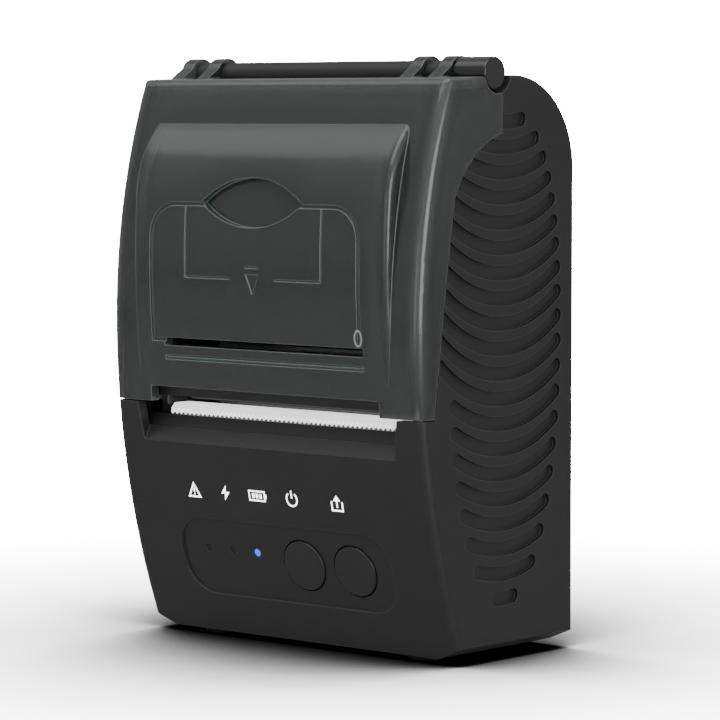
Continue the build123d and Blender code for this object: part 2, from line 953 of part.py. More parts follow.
    # Bosses for the rear shell's screws, each tied to the side wall by a web
    for x, height in boss_places:
        side = 1 if x > 0 else -1
        with BuildSketch(Plane.XZ.offset(case_wall - back_y)):
            with Locations((x, height)):
                Circle(boss_radius)
            with Locations((side * (boss_x + inner_half_width + weld) / 2, height)):
                Rectangle(inner_half_width + weld - boss_x, boss_web)
        extrude(amount=boss_length)
        with BuildSketch(Plane.XZ.offset(case_wall - back_y)):
            with Locations((x, height)):
                Circle(screw_radius)
        extrude(amount=boss_length - boss_floor, mode=Mode.SUBTRACT)
    # Shallow seats for the feet
    with BuildSketch(Plane.XY.offset(foot_height)):
        with Locations(*foot_places):
            Circle(foot_radius + foot_gap)
    extrude(amount=foot_recess, mode=Mode.SUBTRACT)
main_case.part.label = "main_case"
export_step(main_case.part, "parts/main_case.step")

# Cover: smoky clear shell with a raised middle and four hinge rings
with BuildPart() as cover_shell:
    add(outer_block)
    extrude(cover_region(0), amount=reach, both=True, mode=Mode.INTERSECT)
    add(bulge_outside)
    extrude(
        case_profile(cover_wall), amount=half_width - cover_wall, both=True, mode=Mode.SUBTRACT
    )
    add(bulge_inside, mode=Mode.SUBTRACT)
    # The middle of the lower edge is drawn back where the paper comes out
    block_between(
        (-cover_notch_width / 2, cover_notch_width / 2),
        (-reach, split_foot_y),
        (0, seam_height + cover_notch_height),
        mode=Mode.SUBTRACT,
    )
    # The top stops short of the barrels and of the pin's head
    for span in barrel_spans:
        x_cylinder(
            barrel_radius + swing_clearance,
            span[0] - knuckle_gap,
            span[1] + knuckle_gap,
            mode=Mode.SUBTRACT,
        )
    x_cylinder(side_notch_radius, ring_spans[-1][1], reach, mode=Mode.SUBTRACT)
    x_cylinder(side_notch_radius, -reach, ring_spans[0][0], mode=Mode.SUBTRACT)
    for span in ring_spans:
        with BuildSketch(Plane.YZ.offset(span[0])):
            with Locations((hinge_y, hinge_height)):
                Circle(ring_radius)
            with BuildLine():
                Polyline(
                    (hinge_y, hinge_height + ring_radius),
                    (hinge_y - 2 * ring_radius, case_top - cover_wall / 3),
                    (hinge_y - 2 * ring_radius, case_top - cover_wall),
                    (hinge_y, hinge_height - ring_radius),
                    close=True,
                )
            make_face()
        extrude(amount=span[1] - span[0])
    x_cylinder(pin_radius + running_clearance, -reach, reach, mode=Mode.SUBTRACT)
    add(relief, mode=Mode.SUBTRACT)
cover_shell.part.label = "cover_shell"
export_step(cover_shell.part, "parts/cover_shell.step")

with BuildPart() as cover_liner:
    extrude(liner_skin(0), amount=liner_width / 2, both=True)
    extrude(liner_skin(liner_wall), amount=reach, both=True, mode=Mode.SUBTRACT)
    with BuildSketch(Plane.XZ) as outline:
        with Locations((0, (liner_top + liner_lip_height) / 2)):
            Rectangle(liner_width, liner_top - liner_lip_height)
        fillet(outline.vertices().group_by(Axis.Y)[-1], liner_corner)
    extrude(amount=reach, both=True, mode=Mode.INTERSECT)
    block_between(
        (slot_x - slot_width / 2, slot_x + slot_width / 2),
        (-reach, split_foot_y),
        (slot_middle - slot_height / 2, slot_middle + slot_height / 2),
        mode=Mode.SUBTRACT,
    )
    for side in (-1, 1):
        with BuildSketch(Plane.YZ.offset(side * lug_inner_x)):
            with Locations((platen_y, platen_height)):
                Circle(lug_radius)
            with BuildLine():
                Polyline(
                    (platen_y, platen_height + lug_radius),
                    (liner_root_y(platen_height + lug_root_rise), platen_height + lug_root_rise),
                    (liner_root_y(bulge_bottom), bulge_bottom),
                    (platen_y - lug_radius, platen_height - lug_chin),
                    (platen_y, platen_height - lug_chin),
                    close=True,
                )
            make_face()
        extrude(amount=side * lug_thickness)
    x_cylinder(
        bushing_radius + bushing_fit, -reach, reach, platen_y, platen_height, mode=Mode.SUBTRACT
    )
cover_liner.part.label = "cover_liner"
export_step(cover_liner.part, "parts/cover_liner.step")

# Bushings held by the lugs, which snap into the mechanism's notches when the cover shuts
with BuildPart() as platen_bushings:
    for side in (-1, 1):
        start, end = sorted((side * lug_inner_x, side * (frame_outer_x + bushing_end)))
        x_cylinder(bushing_radius, start, end, platen_y, platen_height)
        x_cylinder(
            shaft_radius + running_clearance,
            start,
            end,
            platen_y,
            platen_height,
            mode=Mode.SUBTRACT,
        )
platen_bushings.part.label = "platen_bushings"
export_step(platen_bushings.part, "parts/platen_bushings.step")

with BuildPart() as platen_shaft:
    x_cylinder(shaft_radius, -gear_outer_x, frame_outer_x + shaft_end, platen_y, platen_height)
platen_shaft.part.label = "platen_shaft"
export_step(platen_shaft.part, "parts/platen_shaft.step")

with BuildPart() as platen_rubber:
    x_cylinder(platen_radius, -platen_length / 2, platen_length / 2, platen_y, platen_height)
    fillet(platen_rubber.edges(), platen_edge_radius)
    x_cylinder(shaft_radius, -reach, reach, platen_y, platen_height, mode=Mode.SUBTRACT)
platen_rubber.part.label = "platen_rubber"
export_step(platen_rubber.part, "parts/platen_rubber.step")

with BuildPart() as platen_gear:
    extrude(
        gear_face(
            platen_teeth, mesh_angle, platen_y, platen_height, Plane.YZ.offset(-gear_outer_x)
        ),
        amount=gear_width,
    )
    x_cylinder(shaft_radius, -reach, reach, platen_y, platen_height, mode=Mode.SUBTRACT)
platen_gear.part.label = "platen_gear"
export_step(platen_gear.part, "parts/platen_gear.step")

with BuildPart() as idler_gear:
    extrude(
        gear_face(idler_teeth, idler_phase, idler_y, idler_height, Plane.YZ.offset(-gear_outer_x)),
        amount=gear_width,
    )
    x_cylinder(
        shaft_radius + running_clearance,
        -reach,
        reach,
        idler_y,
        idler_height,
        mode=Mode.SUBTRACT,
    )
idler_gear.part.label = "idler_gear"
export_step(idler_gear.part, "parts/idler_gear.step")

# Stub axle riveted in the side plate, with a rim that keeps the idler on
with BuildPart() as idler_axle:
    x_cylinder(shaft_radius, -gear_outer_x, -frame_inner_x, idler_y, idler_height)
    x_cylinder(
        shaft_radius + axle_rim, axle_play - gear_inner_x, -frame_outer_x, idler_y, idler_height
    )
idler_axle.part.label = "idler_axle"
export_step(idler_axle.part, "parts/idler_axle.step")

with BuildPart() as motor_pinion:
    extrude(
        gear_face(
            pinion_teeth, pinion_phase, pinion_y, pinion_height, Plane.YZ.offset(-gear_outer_x)
        ),
        amount=gear_width,
    )
    x_cylinder(
        motor_shaft_radius,
        -gear_outer_x,
        motor_length - motor_shaft_end - frame_inner_x,
        pinion_y,
        pinion_height,
    )
motor_pinion.part.label = "motor_pinion"
export_step(motor_pinion.part, "parts/motor_pinion.step")

# Stepper motor: can, front boss that centres it in the side plate, and a bore for its shaft
with BuildPart() as feed_motor:
    x_cylinder(
        motor_radius, -frame_inner_x, -frame_inner_x + motor_length, pinion_y, pinion_height
    )
    fillet(feed_motor.edges().group_by(Axis.X)[-1], motor_edge_radius)
    x_cylinder(
        motor_shaft_radius + running_clearance,
        -reach,
        motor_length - motor_cap - frame_inner_x,
        pinion_y,
        pinion_height,
        mode=Mode.SUBTRACT,
    )
feed_motor.part.label = "feed_motor"
export_step(feed_motor.part, "parts/feed_motor.step")

# Mechanism frame: a bent sheet with two notched side plates
with BuildPart() as mechanism_frame:
    for side in (-1, 1):
        with BuildSketch(Plane.YZ.offset(side * frame_inner_x)):
            with BuildLine():
                Polyline(
                    (frame_front_y, frame_bottom),
                    (frame_front_y, frame_top),
                    (frame_back_y, frame_top),
                    (frame_back_y, pinion_height - motor_radius),
                    (cross_wall_y + frame_sheet + frame_heel, frame_bottom),
                    close=True,
                )
            make_face()
            # Notch for the roller's bushing, open towards the front and slightly flared
            notch = bushing_radius + notch_clearance
            with Locations((platen_y, platen_height)):
                Circle(notch, mode=Mode.SUBTRACT)
            lean = degrees(atan2(exit_direction[1], exit_direction[0]))
            mouth = []
            for angle, spread in ((90, 0), (90, notch_flare), (-90, -notch_flare), (-90, 0)):
                start_angle = radians(lean + angle)
                start = Vector(
                    platen_y + notch * cos(start_angle), platen_height + notch * sin(start_angle)
                )
                if spread:
                    run = radians(lean + spread)
                    start = start + Vector(cos(run), sin(run)) * 3 * notch
                mouth.append((start.X, start.Y))
            Polygon(*mouth, align=None, mode=Mode.SUBTRACT)
            with Locations((head_pivot_y, head_pivot_height)):
                Circle(head_pivot_radius + running_clearance, mode=Mode.SUBTRACT)
            if side < 0:
                with Locations((idler_y, idler_height)):
                    Circle(shaft_radius, mode=Mode.SUBTRACT)
                with Locations((pinion_y, pinion_height)):
                    Circle(motor_shaft_hole, mode=Mode.SUBTRACT)
        extrude(amount=side * frame_plate)
    block_between(
        (-frame_inner_x, frame_inner_x),
        (frame_front_y, cross_wall_y + frame_sheet),
        (frame_bottom, frame_bottom + frame_sheet),
    )
    block_between(
        (-frame_inner_x, frame_inner_x),
        (cross_wall_y, cross_wall_y + frame_sheet),
        (frame_bottom, frame_top - cross_wall_drop),
    )
    block_between(
        (-frame_inner_x, frame_inner_x),
        (frame_front_y, frame_front_y + frame_sheet),
        (frame_bottom, bar_top - bar_sheet),
    )
    for side in (-1, 1):
        block_between(
            sorted((side * (frame_outer_x - weld), side * (inner_half_width - tab_clearance))),
            (-tab_half_depth, tab_half_depth),
            (frame_bottom, frame_bottom + frame_sheet),
        )
mechanism_frame.part.label = "mechanism_frame"
export_step(mechanism_frame.part, "parts/mechanism_frame.step")

# Tear bar: a bent steel strip with a toothed lip that slopes down to the front
with BuildPart() as tear_bar:
    block_between(
        (-bar_width / 2, bar_width / 2),
        (bar_bend_y, bar_bend_y + bar_flange),
        (bar_top - bar_sheet, bar_top),
    )
    slope = radians(bar_slope)
    down = Vector(0, -cos(slope), -sin(slope))
    lip_plane = Plane(
        origin=(0, bar_bend_y, bar_top), x_dir=(1, 0, 0), z_dir=Vector(1, 0, 0).cross(-down)
    )
    with BuildSketch(lip_plane):
        pitch = bar_width / tooth_count
        edge_points = [(-bar_width / 2, 0.0)]
        for tooth in range(tooth_count):
            left = -bar_width / 2 + tooth * pitch
            edge_points.append((left, -bar_strip))
            edge_points.append((left + pitch / 2, -bar_strip - tooth_depth))
        edge_points.append((bar_width / 2, -bar_strip))
        edge_points.append((bar_width / 2, 0.0))
        with BuildLine():
            Polyline(*edge_points, close=True)
        make_face()
    extrude(amount=-bar_sheet)
tear_bar.part.label = "tear_bar"
export_step(tear_bar.part, "parts/tear_bar.step")

# Print head: a ceramic strip on an aluminium heat sink that rocks on two pins
with BuildPart() as heat_sink:
    block_between(
        (-head_half_width, head_half_width),
        (sink_front, sink_back),
        (sink_bottom, sink_bottom + sink_height),
    )
    for side in (-1, 1):
        start, end = sorted(
            (side * (head_half_width - head_pin_root), side * (frame_outer_x - head_pin_play))
        )
        x_cylinder(head_pivot_radius, start, end, head_pivot_y, head_pivot_height)
heat_sink.part.label = "heat_sink"
export_step(heat_sink.part, "parts/heat_sink.step")

with BuildPart() as head_ceramic:
    block_between(
        (ceramic_inset - head_half_width, head_half_width - ceramic_inset),
        (head_front_y, head_front_y + ceramic_thickness),
        (ceramic_bottom, ceramic_bottom + ceramic_height),
    )
head_ceramic.part.label = "head_ceramic"
export_step(head_ceramic.part, "parts/head_ceramic.step")

# Leaf spring that presses the head towards the roller
with BuildPart() as head_spring:
    with BuildSketch(Plane.YZ):
        with BuildLine():
            Polyline(
                (cross_wall_y, sink_bottom),
                (cross_wall_y, sink_bottom + spring_foot),
                (sink_back + spring_gap + spring_sheet, sink_bottom + spring_reach),
                (sink_back + spring_gap, sink_bottom + spring_reach - spring_sheet),
                (cross_wall_y - spring_sheet, sink_bottom + spring_foot - spring_sheet),
                (cross_wall_y - spring_sheet, sink_bottom),
                close=True,
            )
        make_face()
    extrude(amount=spring_half_width, both=True)
head_spring.part.label = "head_spring"
export_step(head_spring.part, "parts/head_spring.step")

# Paper tub: curved trough with two cheeks and side rails, open to the front
with BuildPart() as paper_tub:
    extrude(trough(0), amount=tub_half, both=True)
    extrude(trough(tub_wall), amount=half_roll, both=True, mode=Mode.SUBTRACT)
    block_between(
        (-half_roll, half_roll),
        (-reach, tub_top_y + tub_front_lip),
        (tub_height - tub_radius + tub_floor_lip, reach),
        mode=Mode.SUBTRACT,
    )
    # Side rails that close the gap between the cheeks and the case
    for side in (-1, 1):
        block_between(
            sorted((side * (tub_half - weld), side * (inner_half_width - rail_gap))),
            (tub_cheek_front, tub_cheek_front + tub_wall),
            (frame_top + rail_lift, tub_cheek_top - tub_cheek_slope),
        )
paper_tub.part.label = "paper_tub"
export_step(paper_tub.part, "parts/paper_tub.step")

# Hinge pin with the wide head seen at the right end
with BuildPart() as hinge_pin:
    x_cylinder(pin_radius, left_ring_x + pin_edge_radius, pin_head_start + weld)
    x_cylinder(pin_head_radius, pin_head_start, pin_head_start + pin_head_length)
    fillet(hinge_pin.edges().group_by(Axis.X)[-1], pin_edge_radius)
hinge_pin.part.label = "hinge_pin"
export_step(hinge_pin.part, "parts/hinge_pin.step")

# Rear shell with the battery bay
with BuildPart() as rear_shell:
    block_between(
        (-rear_half_width + rear_gap, rear_half_width - rear_gap),
        (back_y - case_wall, back_y),
        (rear_bottom + rear_gap, rear_top - rear_gap),
    )
    block_between(
        (-bay_half - bay_wall, bay_half + bay_wall),
        (bay_floor - bay_wall, back_y - case_wall + weld),
        (bay_low - bay_wall, bay_high + bay_wall),
    )
    block_between(
        (-bay_half, bay_half), (bay_floor, back_y + past), (bay_low, bay_high), mode=Mode.SUBTRACT
    )
    block_between(
        (-door_half - door_gap, door_half + door_gap),
        (back_y - door_thickness, back_y + past),
        (door_low - door_gap, door_high + door_gap),
        mode=Mode.SUBTRACT,
    )
    with BuildSketch(Plane.XZ.offset(-back_y)):
        with Locations(*boss_places):
            Circle(screw_radius + screw_hole_gap)
    extrude(amount=case_wall, mode=Mode.SUBTRACT)
    with BuildSketch(Plane.XZ.offset(-back_y)):
        with Locations(*boss_places):
            Circle(screw_head_radius + screw_hole_gap)
    extrude(amount=screw_head, mode=Mode.SUBTRACT)
rear_shell.part.label = "rear_shell"
export_step(rear_shell.part, "parts/rear_shell.step")

with BuildPart() as case_screws:
    with BuildSketch(Plane.XZ.offset(screw_sink - back_y)):
        with Locations(*boss_places):
            Circle(screw_head_radius)
            RegularPolygon(screw_socket_radius, 6, mode=Mode.SUBTRACT)
    extrude(amount=screw_head - screw_sink)
    with BuildSketch(Plane.XZ.offset(screw_head - back_y)):
        with Locations(*boss_places):
            Circle(screw_radius - screw_fit)
    extrude(amount=screw_length)
case_screws.part.label = "case_screws"
export_step(case_screws.part, "parts/case_screws.step")

# Battery door: turns on its rounded lower edge
with BuildPart() as battery_door:
    block_between(
        (-door_half, door_half),
        (back_y - door_thickness + door_play, back_y),
        (door_pivot_height, door_high),
    )
    x_cylinder(
        (door_thickness - door_play) / 2,
        -door_half,
        door_half,
        door_pivot_y + door_play / 2,
        door_pivot_height,
    )
    # Finger grip: three shallow grooves under the upper edge
    with BuildSketch(Plane.XZ.offset(-back_y)):
        for row in range(grip_count):
            with Locations((0, door_high - grip_drop - row * grip_pitch)):
                SlotOverall(grip_width, grip_tall)
    extrude(amount=grip_depth, mode=Mode.SUBTRACT)
battery_door.part.label = "battery_door"
export_step(battery_door.part, "parts/battery_door.step")

with BuildPart() as battery_pack:
    block_between(
        (-battery_width / 2, battery_width / 2),
        (bay_floor + battery_gap, bay_floor + battery_gap + battery_thickness),
        (battery_bottom, battery_bottom + battery_height),
    )
    fillet(battery_pack.edges().filter_by(Axis.Z), battery_corner)
battery_pack.part.label = "battery_pack"
export_step(battery_pack.part, "parts/battery_pack.step")

# Main board standing behind the front, with its connectors and chips
with BuildPart() as main_board:
    block_between(
        (-main_board_half_width, main_board_half_width),
        (main_board_y, main_board_y + board_thickness),
        (main_board_bottom, main_board_bottom + main_board_height),
    )
    for x, rise, wide, tall, deep in (
        processor,
        motor_driver,
        radio,
        head_connector,
        battery_connector,
    ):
        block_between(
            (x - wide / 2, x + wide / 2),
            (main_board_y - deep, main_board_y + weld),
            (main_board_bottom + rise - tall / 2, main_board_bottom + rise + tall / 2),
        )
main_board.part.label = "main_board"
export_step(main_board.part, "parts/main_board.step")

# Charge socket in the left side, with the tongue that carries its contacts
with BuildPart() as charge_socket:
    with BuildSketch(Plane.YZ.offset(socket_inset - half_width)):
        with Locations((socket_y, socket_height)):
            SlotOverall(socket_wide, socket_tall, rotation=90)
    extrude(amount=socket_deep)
    with BuildSketch(Plane.YZ.offset(socket_inset - half_width)):
        with Locations((socket_y, socket_height)):
            SlotOverall(
                socket_wide - 2 * socket_wall, socket_tall - 2 * socket_wall, rotation=90
            )
    extrude(amount=socket_deep - socket_floor, mode=Mode.SUBTRACT)
    with BuildSketch(Plane.YZ.offset(socket_inset + socket_floor - half_width)):
        with Locations((socket_y, socket_height)):
            Rectangle(socket_tongue, socket_tongue_wide)
    extrude(amount=socket_deep - socket_floor - weld)
charge_socket.part.label = "charge_socket"
export_step(charge_socket.part, "parts/charge_socket.step")

# Button board, switches and indicators behind the control panel
with BuildPart() as button_board:
    with BuildSketch(panel_plane(board_depth + board_thickness)):
        RectangleRounded(
            panel_width - 2 * board_margin, panel_tall - board_margin, board_corner
        )
    extrude(amount=board_thickness)
button_board.part.label = "button_board"
export_step(button_board.part, "parts/button_board.step")

with BuildPart() as tact_switches:
    with BuildSketch(panel_plane(board_depth)):
        with Locations(*button_places):
            RectangleRounded(switch_size, switch_size, switch_corner)
    extrude(amount=switch_body)
    with BuildSketch(panel_plane(board_depth - switch_body)):
        with Locations(*button_places):
            Circle(plunger_radius)
    extrude(amount=plunger_tall)
tact_switches.part.label = "tact_switches"
export_step(tact_switches.part, "parts/tact_switches.step")

with BuildPart() as indicator_leds:
    with BuildSketch(panel_plane(board_depth)):
        with Locations(*led_places):
            Rectangle(led_width, led_tall)
    extrude(amount=led_thickness)
indicator_leds.part.label = "indicator_leds"
export_step(indicator_leds.part, "parts/indicator_leds.step")

# Clear light pipes: three rods joined by a bar that lies against the inside of the front
pipe_end = board_depth - led_thickness - pipe_gap
with BuildPart() as light_pipes:
    with BuildSketch(panel_plane(pipe_end)):
        with Locations(*led_places):
            Circle(led_radius - pipe_play)
    extrude(amount=pipe_end - panel_recess - pipe_sink)
    with BuildSketch(panel_plane(case_wall + pipe_bar_offset + pipe_bar_thickness)):
        with Locations(led_places[1]):
            Rectangle(led_x[2] - led_x[0] + 2 * pipe_bar_margin, pipe_bar_tall)
    extrude(amount=pipe_bar_thickness)
light_pipes.part.label = "light_pipes"
export_step(light_pipes.part, "parts/light_pipes.step")

# Two round buttons with a stop flange inside the case and a stem over each switch
flange_top = case_wall + button_seat
stem_end = board_depth - switch_body - plunger_tall - button_travel - button_play
for name, place in zip(("power_button", "feed_button"), button_places):
    with BuildPart() as button:
        with BuildSketch(panel_plane(flange_top)):
            with Locations(place):
                Circle(button_radius)
        extrude(amount=case_wall + button_proud)
        outer_rim = button.edges().filter_by(GeomType.CIRCLE).sort_by(Axis.Y)[0]
        fillet(outer_rim, button_edge_radius)
        with BuildSketch(panel_plane(flange_top + flange_thickness)):
            with Locations(place):
                Circle(button_radius + button_flange)
        extrude(amount=flange_thickness)
        with BuildSketch(panel_plane(stem_end)):
            with Locations(place):
                Circle(button_stem_radius)
        extrude(amount=stem_end - flange_top)
    button.part.label = name
    export_step(button.part, "parts/" + name + ".step")

with BuildPart() as rubber_feet:
    with BuildSketch(Plane.XY):
        with Locations(*foot_places):
            Circle(foot_radius)
    extrude(amount=foot_height + foot_recess)
    fillet(rubber_feet.edges().group_by(Axis.Z)[0], foot_edge_radius)
rubber_feet.part.label = "rubber_feet"
export_step(rubber_feet.part, "parts/rubber_feet.step")
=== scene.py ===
import logging
import math
from dataclasses import dataclass, field
from enum import Enum

import bmesh
import bpy
from mathutils import Matrix, Vector


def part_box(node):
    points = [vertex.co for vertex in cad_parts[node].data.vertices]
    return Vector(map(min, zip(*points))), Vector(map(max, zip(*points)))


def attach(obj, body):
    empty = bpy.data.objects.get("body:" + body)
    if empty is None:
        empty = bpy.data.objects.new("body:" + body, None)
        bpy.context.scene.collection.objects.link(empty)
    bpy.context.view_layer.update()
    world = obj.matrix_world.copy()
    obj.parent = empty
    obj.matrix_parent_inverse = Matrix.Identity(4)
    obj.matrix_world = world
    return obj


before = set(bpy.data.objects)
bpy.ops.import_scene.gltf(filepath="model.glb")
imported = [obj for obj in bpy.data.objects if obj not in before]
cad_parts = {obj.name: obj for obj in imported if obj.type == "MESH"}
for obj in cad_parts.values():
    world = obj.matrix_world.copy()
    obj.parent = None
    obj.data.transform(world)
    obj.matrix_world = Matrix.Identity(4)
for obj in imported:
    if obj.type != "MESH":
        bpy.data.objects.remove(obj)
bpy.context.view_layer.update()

# Looks of the portable receipt printer: a finish for every CAD node, the printed marks on the
# front and on the cover, and a white studio. Blender works in metres. Names that end in _mm,
# and all sizes of the marks, are in millimetres, and MM turns them into metres.

LOG = logging.getLogger("receipt_printer")
MM = 0.001

Point = tuple[float, float]
Outline = list[Point]
Place = tuple[float, float, float]
Tree = bpy.types.NodeTree
Socket = bpy.types.NodeSocket


class Body(Enum):
    """CAD bodies that the added pieces ride on."""

    CASE = "case"
    COVER = "cover"


class Slot(Enum):
    """Material slots of the record. The added pieces take their finishes from the ones set out
    here, not from these slots.
    """

    PRINT = "button_plastic"


def linear(hex_colour: str) -> tuple[float, float, float, float]:
    """Turn a hex sRGB colour into Blender's linear RGBA.

    Args:
        hex_colour: Six hex digits, with or without a leading number sign.

    Returns:
        The linear red, green, blue and an alpha of 1.
    """
    digits = hex_colour.lstrip("#")
    channels = [int(digits[i : i + 2], 16) / 255 for i in (0, 2, 4)]
    red, green, blue = (
        c / 12.92 if c <= 0.04045 else ((c + 0.055) / 1.055) ** 2.4 for c in channels
    )
    return red, green, blue, 1.0


def add_node(tree: Tree, kind: str, settings: dict, links: dict) -> bpy.types.Node:
    """Add a shader node, set its values and link its inputs.

    Args:
        tree: Node tree that the node goes into.
        kind: Blender's type name of the node.
        settings: Attribute names, or input names and numbers, with their values.
        links: Input names or numbers with the output socket that feeds each.

    Returns:
        The new node.
    """
    node = tree.nodes.new(kind)
    for key, value in settings.items():
        if isinstance(key, str) and hasattr(node, key):
            setattr(node, key, value)
        else:
            node.inputs[key].default_value = value
    for key, socket in links.items():
        tree.links.new(socket, node.inputs[key])
    return node


@dataclass(frozen=True)
class Plastic:
    """Moulded or rubber surface: a fine grain over a faint, wide change of tone."""

    name: str
    colour: str
    roughness: float
    grain_mm: float = 0.35
    grain_height_mm: float = 0.012
    tone_change: float = 0.03
    edge_mm: float = 0.25
    # Painted edge highlight: share of a mid grey mixed into the colour along hard edges, which
    # draws pale lines on the dark plastics as if the edges caught the light
    painted_edge: float = 0.12
    coat: float = 0.0
    coat_roughness: float = 0.1
    patch_mm: float = 14.0
    patch_detail: float = 2.0
    patch_colour: str = "#808080"
    # Mid grey of the painted edge highlight
    painted_edge_colour: str = "#6a6a6a"
    smoother: float = 0.05
    rougher: float = 0.06
    glow: float = 0.0


@dataclass(frozen=True)
class Metal:
    """Bare or plated metal with fine lines along X from rolling or turning."""

    name: str
    colour: str
    roughness: float
    line_mm: float = 0.12
    line_stretch: float = 40.0
    line_height_mm: float = 0.002
    edge_mm: float = 0.1
    line_detail: float = 3.0
    patch_mm: float = 6.0
    patch_detail: float = 2.0
    patch_colour: str = "#7f7f7c"
    patch_change: float = 0.25
    smoother: float = 0.07
    rougher: float = 0.08
    metallic: float = 1.0
    glow: float = 0.0


@dataclass(frozen=True)
class Clear:
    """See-through plastic: tinted by its base colour, paler and greener along its edges."""

    name: str
    colour: str
    edge_colour: str
    roughness: float
    ior: float = 1.58
    clarity: float = 0.82
    edge_share: float = 0.75
    edge_haze: float = 0.5
    edge_mm: float = 0.35
    edge_turn: float = 0.8
    depth_mm: float = 6.0
    plain_depth: float = 0.22
    rim_depth: float = 0.85
    ripple_mm: float = 9.0
    ripple_detail: float = 1.0
    ripple_height_mm: float = 0.01


@dataclass(frozen=True)
class Lamp:
    """Light pipes of the indicators: clear when dark, glowing right of a given X."""

    name: str
    colour: str
    glow: str
    strength: float
    lit_from_x_mm: float
    roughness: float = 0.35
    haze_mm: float = 0.8
    haze_colour: str = "#101416"
    haze_change: float = 0.5


@dataclass(frozen=True)
class Board:
    """Printed circuit board: solder mask with paler tracks under it."""

    name: str
    colour: str
    track_colour: str
    roughness: float
    track_mm: float = 1.6
    track_share: float = 0.06
    haze_mm: float = 0.5
    haze_height_mm: float = 0.01
    edge_mm: float = 0.1


Finish = Plastic | Metal | Clear | Lamp | Board

# Matte black ABS of the case, moulded against a fine-spark texture: dark, with wide soft
# highlights and slightly paler corners, a painted highlight along its hard edges
CASE_PLASTIC = Plastic("case_plastic", "#1d1d1d", 0.46, painted_edge=0.3)
# Smoother black ABS of the two buttons: a little glossier than the panel round them
BUTTON_PLASTIC = Plastic("button_plastic", "#1f1f1f", 0.36, grain_height_mm=0.006)
# Charcoal ABS inside the cover and round the paper roll, moulded smooth: an even dark ground
# behind the clear cover
LINER_PLASTIC = Plastic("liner_plastic", "#1d1e1e", 0.42, grain_height_mm=0.002)
# Polished black acetal of the hinge pin and the bushings: thin sharp highlights along the rod
PIN_PLASTIC = Plastic("pin_plastic", "#101010", 0.18, grain_height_mm=0.002, coat=0.4)
# Natural white nylon of the gears, moulded: waxy off-white
GEAR_NYLON = Plastic("gear_nylon", "#d9d6c8", 0.4, grain_mm=0.6, grain_height_mm=0.004)
# Ground nitrile rubber of the feed roller: dull black with no clear highlight
ROLLER_RUBBER = Plastic("roller_rubber", "#161616", 0.72, grain_mm=0.2)
# Soft black silicone of the feet, moulded: the dullest black here
FOOT_RUBBER = Plastic("foot_rubber", "#1a1a1a", 0.8, grain_mm=0.5)
# Blue shrink sleeve round the battery cells: a glossy film
BATTERY_WRAP = Plastic("battery_wrap", "#2c4f86", 0.3, grain_mm=2.0, coat=0.3)
# Glazed alumina of the heating element: ivory with a wet gloss
CERAMIC = Plastic("ceramic", "#c9c3b4", 0.15, grain_height_mm=0.001, coat=0.5)
# Black nylon shells of the tact switches, moulded: plain satin
SWITCH_PLASTIC = Plastic("switch", "#191919", 0.45)
# Milky epoxy of the indicator diodes, cast: pale and smooth
LED_EPOXY = Plastic("led", "#d8dde0", 0.25, grain_height_mm=0.002)
# White pad-printed ink on the front: flat white. Both inks and the tear bar glow, because the
# room that lights the object is darker than the one that the camera sees
PRINT_INK = Plastic("print_ink", "#f4f4f4", 0.5, grain_mm=0.15, grain_height_mm=0.003, glow=4.0)
# Grey pad-printed ink of the mark on the cover: a flat middle grey
PALE_INK = Plastic("pale_ink", "#8b8e8c", 0.5, grain_mm=0.15, grain_height_mm=0.003, glow=0.25)
# Blasted stainless steel of the tear bar: nearly white and matt. Its low metallic value and
# its glow stand in for the white room that it would mirror
TEAR_STEEL = Metal(
    "tear_steel", "#fbfbfa", 0.5, line_height_mm=0.0005, edge_mm=0.05, metallic=0.1, glow=1.4
)
# Zinc-plated sheet steel of the print mechanism: grey with long rolled lines
FRAME_STEEL = Metal("frame_steel", "#a9aaa6", 0.38, line_mm=0.3)
# Ground steel of the roller's shaft and the idler's axle: bright, with fine lines
SHAFT_STEEL = Metal("shaft_steel", "#c4c4c2", 0.22)
# Nickel-plated can of the motor and shell of the charge socket: smooth and slightly warm
MOTOR_STEEL = Metal("motor_steel", "#b4b4b2", 0.28)
# Blackened steel of the screws: dark, with a metal sheen
SCREW_STEEL = Metal("screw_steel", "#3a3a3a", 0.4)
# Extruded aluminium behind the heating element: pale and cool, with die lines
SINK_ALUMINIUM = Metal("sink_aluminium", "#c2c4c6", 0.35, line_mm=0.2)
# Smoky clear polycarbonate of the cover, moulded glossy: dark grey, with the liner showing
# through it and pale green rims where light runs along the wall
SMOKY_CLEAR = Clear("smoky_clear", "#565959", "#bccfc4", 0.17)
# Clear acrylic of the light pipes, moulded: dark dots, and the right-hand one lit blue
LIGHT_PIPES = Lamp("clear_pipe", "#050607", "#0a5cff", 2.2, -9.5)
# Green solder mask of both boards, printed: satin, with paler copper tracks under it
BOARD_MASK = Board("board", "#1f4a2c", "#3c7a4a", 0.35)

CASE_NODES: dict[str, Finish] = {
    "main_case": CASE_PLASTIC,
    "rear_shell": CASE_PLASTIC,
    "battery_door": CASE_PLASTIC,
    "battery_pack": BATTERY_WRAP,
    "paper_tub": LINER_PLASTIC,
    "tear_bar": TEAR_STEEL,
    "case_screws": SCREW_STEEL,
    "rubber_feet": FOOT_RUBBER,
}
COVER_NODES: dict[str, Finish] = {
    "cover_shell": SMOKY_CLEAR,
    "cover_liner": LINER_PLASTIC,
    "hinge_pin": PIN_PLASTIC,
}
FEED_NODES: dict[str, Finish] = {
    "platen_rubber": ROLLER_RUBBER,
    "platen_shaft": SHAFT_STEEL,
    "platen_bushings": PIN_PLASTIC,
    "platen_gear": GEAR_NYLON,
    "idler_gear": GEAR_NYLON,
    "idler_axle": SHAFT_STEEL,
    "motor_pinion": GEAR_NYLON,
    "feed_motor": MOTOR_STEEL,
}
PRINT_NODES: dict[str, Finish] = {
    "mechanism_frame": FRAME_STEEL,
    "head_spring": FRAME_STEEL,
    "heat_sink": SINK_ALUMINIUM,
    "head_ceramic": CERAMIC,
}
